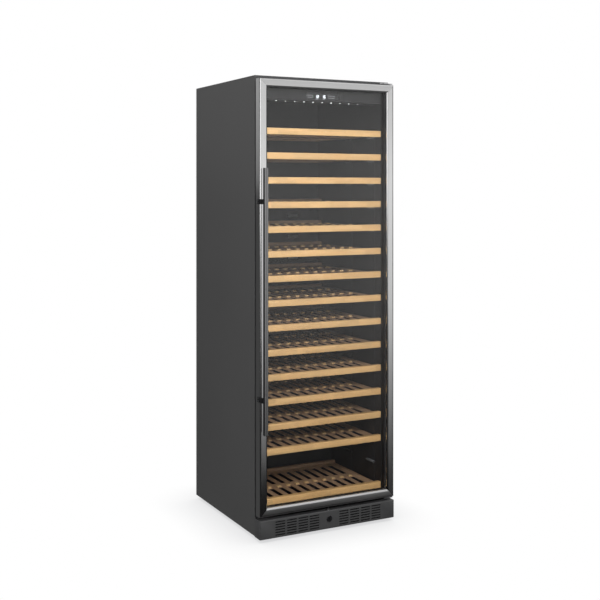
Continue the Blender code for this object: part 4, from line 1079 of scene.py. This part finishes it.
@dataclass
class WallClips:
    """The dark strips on the side walls and the light clips that carry the shelves."""

    strip_sheet: float = 1.5 * MM
    clip_reach: float = 16.0 * MM
    clip_tall: float = 11.0 * MM
    clip_long: float = 48.0 * MM
    front: float = 48.0 * MM
    rear: float = 230.0 * MM
    deck_rise: float = 4.3 * MM
    ledge: float = 3.5 * MM
    gusset_half: float = 1.2 * MM
    gussets: tuple[float, ...] = (0.15, 0.5, 0.85)

    def levels(self) -> list[float]:
        """Returns the underside of every shelf position, the empty one too."""
        tops = sorted(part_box(name)[0].z for name in frame["nodes"] if name.removeprefix("shelf_").isdigit())
        pitch = tops[-1] - tops[-2]
        count = round((tops[-1] - tops[0]) / pitch) + 1
        return [tops[0] + index * pitch for index in range(count)]

    def build(self) -> None:
        """Builds the strips and the clips of both walls."""
        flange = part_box("shelf_01")[0].y
        for side, sign in (("left", -1), ("right", 1)):
            node = f"shelf_support_{side}"
            low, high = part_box(node)
            outer = high.x if sign > 0 else -low.x
            wall = outer - self.strip_sheet
            bm = bmesh.new()
            x0, x1 = sorted((sign * wall, sign * outer))
            for start in (flange + self.front, flange + self.rear):
                Bench.soft_block(bm, (x0, start, low.z), (x1, start + self.clip_long, high.z), 0.3 * MM, 1)
            Bench.piece(bm, f"{node}_strip", "cabinet", Finishes.strip, (node,))
            rows = (("front", self.front, Finishes.clip), ("rear", self.rear, Finishes.strip))
            for row, start, finish in rows:
                bm = bmesh.new()
                for level in self.levels():
                    self.clip(bm, sign, wall, outer, flange + start, level + self.deck_rise - 0.3 * MM)
                Bench.piece(bm, f"{node}_clips_{row}", "cabinet", finish)

    def clip(self, bm: bmesh.types.BMesh, sign: int, wall: float, outer: float, front: float,
             top: float) -> None:
        """Adds one clip: a ledge on two gussets."""
        reach = outer + 0.3 * MM - self.clip_reach
        x0, x1 = sorted((sign * reach, sign * wall))
        under = top - self.ledge
        Bench.soft_block(bm, (x0, front, under), (x1, front + self.clip_long, top), 0.8 * MM, 2)
        for share in self.gussets:
            middle, half = front + share * self.clip_long, self.gusset_half
            corners = Bench.block(bm, (x0, middle - half, top - self.clip_tall), (x1, middle + half, under))
            for corner in corners:
                if corner.co.z < top - self.clip_tall + TINY and abs(corner.co.x) < wall - 0.1 * MM:
                    corner.co.z = top - 1.6 * self.ledge


@dataclass
class Plinth:
    """The ventilated plinth: a rounded cover with louvred slots."""

    corner: float = 5.0 * MM
    edge: float = 1.2 * MM
    wall: float = 1.2 * MM
    columns: int = 4
    rows: int = 6
    slot_long: float = 42.0 * MM
    slot_tall: float = 4.6 * MM
    slot_round: float = 1.4 * MM
    pitch_x: float = 49.0 * MM
    pitch_z: float = 9.8 * MM
    offset: float = 138.5 * MM
    lock_room: float = 30.0 * MM
    barrel_r: float = 8.3 * MM
    pin_r: float = 2.8 * MM

    def build(self) -> None:
        """Builds the cover, its slots and the near-black sheets behind them, which paint the shade in the hollow.
        """
        low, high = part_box("plinth_grille")
        bm = bmesh.new()
        corners = Bench.block(bm, low, high)
        upright = {
            edge for corner in corners if corner.co.y < (low.y + high.y) / 2 for edge in corner.link_edges
            if Bench.spans(edge).z > self.edge
        }
        Bench.soften(bm, upright, self.corner, 6)
        Bench.soften(bm, [
            edge for edge in bm.edges
            if edge.calc_face_angle(0.0) > 1.0 and edge.verts[0].co.y + edge.verts[1].co.y < 2 * high.y - 1e-5
        ], self.edge, 3)
        cover = Bench.piece(bm, "plinth_cover", "cabinet", Finishes.plinth_paint, ("plinth_grille",), 28.0)
        cutter = bmesh.new()
        w = self.wall
        Bench.block(cutter, (low.x + w, low.y + w, low.z + w), (high.x - w, high.y + w, high.z - w))
        DoorFrame.cut(cover, cutter)
        # Near-black sheets behind the slots: painted shade in the plinth's hollow.
        hollow_shade = bmesh.new()
        for left, right in ((low.x + 2 * w, -self.lock_room), (self.lock_room, high.x - 2 * w)):
            Bench.block(hollow_shade, (left, low.y + w + 0.4 * MM, low.z + 2 * w),
                        (right, low.y + w + 1.0 * MM, high.z - 2 * w))
        Bench.piece(hollow_shade, "plinth_shade_sheets", "cabinet", Finishes.gap_shade, ("plinth_grille",))
        cutter = bmesh.new()
        first = low.z + (high.z - low.z - (self.rows - 1) * self.pitch_z) / 2
        for block in (-self.offset, self.offset):
            for column in range(self.columns):
                x = block + (column - (self.columns - 1) / 2) * self.pitch_x
                for row in range(self.rows):
                    z = first + row * self.pitch_z
                    reach, tall = self.slot_long / 2, self.slot_tall / 2
                    corner = (x - reach, low.y - w, z - tall)
                    made = Bench.block(cutter, corner, (x + reach, low.y + 2 * w, z + tall))
                    ends = {edge for vert in made for edge in vert.link_edges if Bench.spans(edge).y > w}
                    Bench.soften(cutter, ends, self.slot_round, 2)
        DoorFrame.cut(cover, cutter)
        barrel, pin = (sum(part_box(node), Vector()) / 2 for node in ("lock_cylinder", "lock_pin"))
        for radius, centre, axis, sides in (
            (self.barrel_r, (barrel.x, low.y, barrel.z), "Y", 32),
            (self.pin_r, (pin.x, pin.y, high.z), "Z", 24),
        ):
            cutter = bmesh.new()
            Bench.rod(cutter, radius, 4 * w, centre, axis, sides)
            DoorFrame.cut(cover, cutter)


# ---------------------------------------------------------------- dressing of the frame's own nodes


class Carried:
    """The nodes of the frame that keep their own shape."""

    FINISHES = {
        "side_panel_left": Finishes.side_paint, "side_panel_right": Finishes.side_paint,
        "top_panel": Finishes.top_paint, "back_panel": Finishes.zinc_sheet, "base_tray": Finishes.zinc_sheet,
        "machine_bay_shell": Finishes.zinc_sheet, "machine_bay_cover": Finishes.zinc_sheet,
        "inner_liner": Finishes.liner, "rear_air_panel": Finishes.liner, "foam_insulation": Finishes.foam,
        "mains_cable_gland": Finishes.black, "control_housing": Finishes.black,
        "duct_fan_rotor": Finishes.black, "condenser_fan_frame": Finishes.black,
        "condenser_fan_rotor": Finishes.black, "evaporation_pan": Finishes.black,
        "door_inner_frame": Finishes.black, "glass_spacer": Finishes.spacer,
        "door_seal": Finishes.seal, "control_fascia": Finishes.fascia, "display_panel": Finishes.display,
        "lock_cylinder": Finishes.lock, "lock_pin": Finishes.chrome, "hinge_top": Finishes.hinge,
        "hinge_bottom": Finishes.hinge, "evaporator": Finishes.aluminium, "compressor": Finishes.machine,
        "condenser": Finishes.machine, "outer_glass": Finishes.pane, "inner_glass": Finishes.pane,
        "foot_front_left": Finishes.foot, "foot_front_right": Finishes.foot,
        "foot_rear_left": Finishes.foot, "foot_rear_right": Finishes.foot,
    }

    @classmethod
    def build(cls) -> None:
        """Dresses each node."""
        for node, finish in cls.FINISHES.items():
            Bench.dress(node, finish)


# ---------------------------------------------------------------- studio


@dataclass
class Studio:
    """The floor, the light, the reflection cards and the camera."""

    camera_place: Point = (-1.9272, -3.7479, 1.3267)
    camera_turn: float = -27.5434
    lens: float = 61.13
    shift: float = -0.184
    ambient: float = 0.07

    @staticmethod
    def set_out(name: str, bm: bmesh.types.BMesh, material: bpy.types.Material, unseen: Sequence[str]) -> None:
        """Stages a glowing mesh.

        Args:
            name: The object's name.
            bm: The mesh, which this frees.
            material: Its light.
            unseen: The kinds of ray that don't meet it.
        """
        mesh = bpy.data.meshes.new(name)
        bm.to_mesh(mesh)
        bm.free()
        mesh.materials.append(material)
        obj = bpy.data.objects.new(name, mesh)
        bpy.context.scene.collection.objects.link(obj)
        for ray in unseen:
            setattr(obj, f"visible_{ray}", False)

    def card(self, name: str, corners: Sequence[Point], stops: Sequence[tuple[float, float]]) -> None:
        """Adds a card that only reflections see, its light running from the first edge to the opposite one.

        Args:
            name: The card's name.
            corners: Its four corners in order round it.
            stops: Positions from the first two corners (0) to the last two (1), each with a level of light.
        """
        bm = bmesh.new()
        face = bm.faces.new([bm.verts.new(corner) for corner in corners])
        layer = bm.loops.layers.uv.new("run")
        for loop, run in zip(face.loops, ((0, 0), (1, 0), (1, 1), (0, 1))):
            loop[layer].uv = run
        material = bpy.data.materials.new(name)
        graph = Graph(material)
        uv = graph.node("ShaderNodeUVMap", {"uv_map": "run"})
        split = graph.node("ShaderNodeSeparateXYZ", None, {0: uv.outputs[0]})
        level = graph.ramp(Value(graph, split.outputs[1]), [(at, (light,) * 3) for at, light in stops])
        graph.emit(level)
        self.set_out(name, bm, material, ("camera", "diffuse", "shadow", "transmission"))

    def floor(self) -> None:
        """Adds the plain pale floor: it glows white, with a painted contact shadow."""
        bm = bmesh.new()
        bmesh.ops.create_grid(bm, x_segments=1, y_segments=1, size=30.0)
        material = bpy.data.materials.new("floor_white_contact_shadow")
        graph = Graph(material)
        # Painted contact shadow: the glow darkens to 0.62 where ambient occlusion finds the cooler close by.
        near = graph.node("ShaderNodeAmbientOcclusion", {"samples": 16}, {"Distance": 0.22})
        pale = graph.blend(Value(graph, near.outputs["AO"]), (0.62, 0.62, 0.63), (1.0, 1.0, 1.0))
        graph.emit(pale)
        self.set_out("floor", bm, material, ("glossy", "diffuse", "shadow"))

    def lamp(self, name: str, place: Point, target: Point, size: tuple[float, float], power: float,
             glossy: bool = False) -> None:
        """Adds a soft rectangular light that looks at a target."""
        data = bpy.data.lights.new(name, "AREA")
        data.shape = "RECTANGLE"
        data.size, data.size_y = size
        data.energy = power
        obj = bpy.data.objects.new(name, data)
        bpy.context.scene.collection.objects.link(obj)
        obj.location = place
        obj.rotation_euler = (Vector(target) - Vector(place)).to_track_quat("-Z", "Y").to_euler()
        obj.visible_glossy = glossy
        obj.visible_camera = False

    def world(self) -> None:
        """Sets a white backdrop that lights the scene only a little."""
        world = bpy.data.worlds.new("studio")
        bpy.context.scene.world = world
        graph = Graph(world, "ShaderNodeOutputWorld")
        rays = graph.node("ShaderNodeLightPath")
        seen = graph.node("ShaderNodeBackground", None, {"Color": (1.0, 1.0, 1.0), "Strength": 1.0})
        soft = graph.node("ShaderNodeBackground", None, {"Color": (1.0, 1.0, 1.0), "Strength": self.ambient})
        shares = {0: rays.outputs["Is Camera Ray"], 1: soft.outputs[0], 2: seen.outputs[0]}
        graph.close(graph.node("ShaderNodeMixShader", None, shares))

    def build(self) -> None:
        """Sets up the whole studio."""
        self.world()
        self.floor()
        self.lamp("front_soft", (-0.6, -4.6, 3.0), (0.0, 0.0, 1.0), (3.0, 2.0), 160.0)
        self.lamp("shelf_soft", (-0.5, -2.1, 1.42), (0.0, -0.2, 1.32), (1.4, 0.5), 31.0)
        self.lamp("left_soft", (-4.2, -0.9, 0.9), (0.0, 0.1, 0.6), (2.5, 1.6), 200.0)
        self.lamp("top_soft", (0.3, -1.0, 4.5), (0.0, 0.0, 0.0), (4.0, 4.0), 420.0)
        self.lamp("right_soft", (3.6, -2.2, 2.4), (0.0, 0.0, 0.9), (2.0, 2.0), 60.0)
        self.lamp("back_soft", (0.5, 4.0, 2.6), (0.0, 0.3, 0.8), (3.0, 2.0), 120.0)
        self.card(
            "card_front", [(-4.0, -5.0, 0.0), (6.5, -5.0, 0.0), (6.5, -5.0, 4.5), (-4.0, -5.0, 4.5)],
            [(0.0, 0.66), (0.07, 0.78), (0.18, 0.88), (0.31, 1.02), (0.46, 0.84), (1.0, 0.7)],
        )
        floor_levels = {
            "card_floor_left": (-3.5, -0.6, [(0.0, 0.01), (0.3, 0.03), (1.0, 0.10)]),
            "card_floor_middle": (
                -0.6, 0.2,
                [(0.0, 0.002), (0.13, 0.012), (0.2, 0.06), (0.26, 0.16), (0.44, 0.31), (1.0, 0.62)],
            ),
            "card_floor_right": (
                0.2, 6.5, [(0.0, 0.02), (0.13, 0.06), (0.26, 0.16), (0.44, 0.31), (0.82, 0.52), (1.0, 0.62)],
            ),
        }
        for name, (left, right, stops) in floor_levels.items():
            corners = [(left, -0.32, 0.004), (right, -0.32, 0.004), (right, -5.0, 0.004), (left, -5.0, 0.004)]
            self.card(name, corners, stops)
        self.card(
            "card_left", [(-4.5, -4.9, 0.0), (-4.5, -0.6, 0.0), (-4.5, -0.6, 4.0), (-4.5, -4.9, 4.0)],
            [(0.0, 0.02), (0.10, 0.08), (0.21, 0.30), (0.31, 1.5), (1.0, 1.4)],
        )
        self.card(
            "card_back_left", [(-5.0, 4.0, 1.35), (-0.9, 4.0, 1.35), (-0.9, 4.0, 4.0), (-5.0, 4.0, 4.0)],
            [(0.0, 0.22), (0.3, 0.42), (1.0, 0.42)],
        )
        self.card(
            "card_top", [(-1.5, -4.6, 4.6), (4.5, -4.6, 4.6), (4.5, 1.2, 4.6), (-1.5, 1.2, 4.6)],
            [(0.0, 0.95), (1.0, 0.95)],
        )
        self.card(
            "card_right", [(4.2, 0.6, 0.0), (4.2, 5.0, 0.0), (4.2, 5.0, 4.0), (4.2, 0.6, 4.0)],
            [(0.0, 0.02), (0.12, 0.10), (0.25, 0.45), (0.35, 0.9), (1.0, 1.0)],
        )
        camera = bpy.data.objects.new("camera", bpy.data.cameras.new("camera"))
        bpy.context.scene.collection.objects.link(camera)
        camera.location = self.camera_place
        camera.rotation_euler = (math.pi / 2, 0.0, math.radians(self.camera_turn))
        camera.data.lens = self.lens
        camera.data.shift_y = self.shift
        bpy.context.scene.camera = camera
        bpy.context.scene.view_settings.view_transform = "Standard"


def main() -> None:
    """Builds the studio and every sub-assembly in order."""
    logging.basicConfig(level=logging.INFO, format="%(message)s")
    makers = (
        Studio(), Carried(), BottleShelf(), DoorFrame(), BarHandle(), ControlMarks(), WallClips(), Plinth(),
    )
    for maker in makers:
        maker.build()
        LOG.info("%s done", type(maker).__name__)


if __name__ == "__main__":
    main()
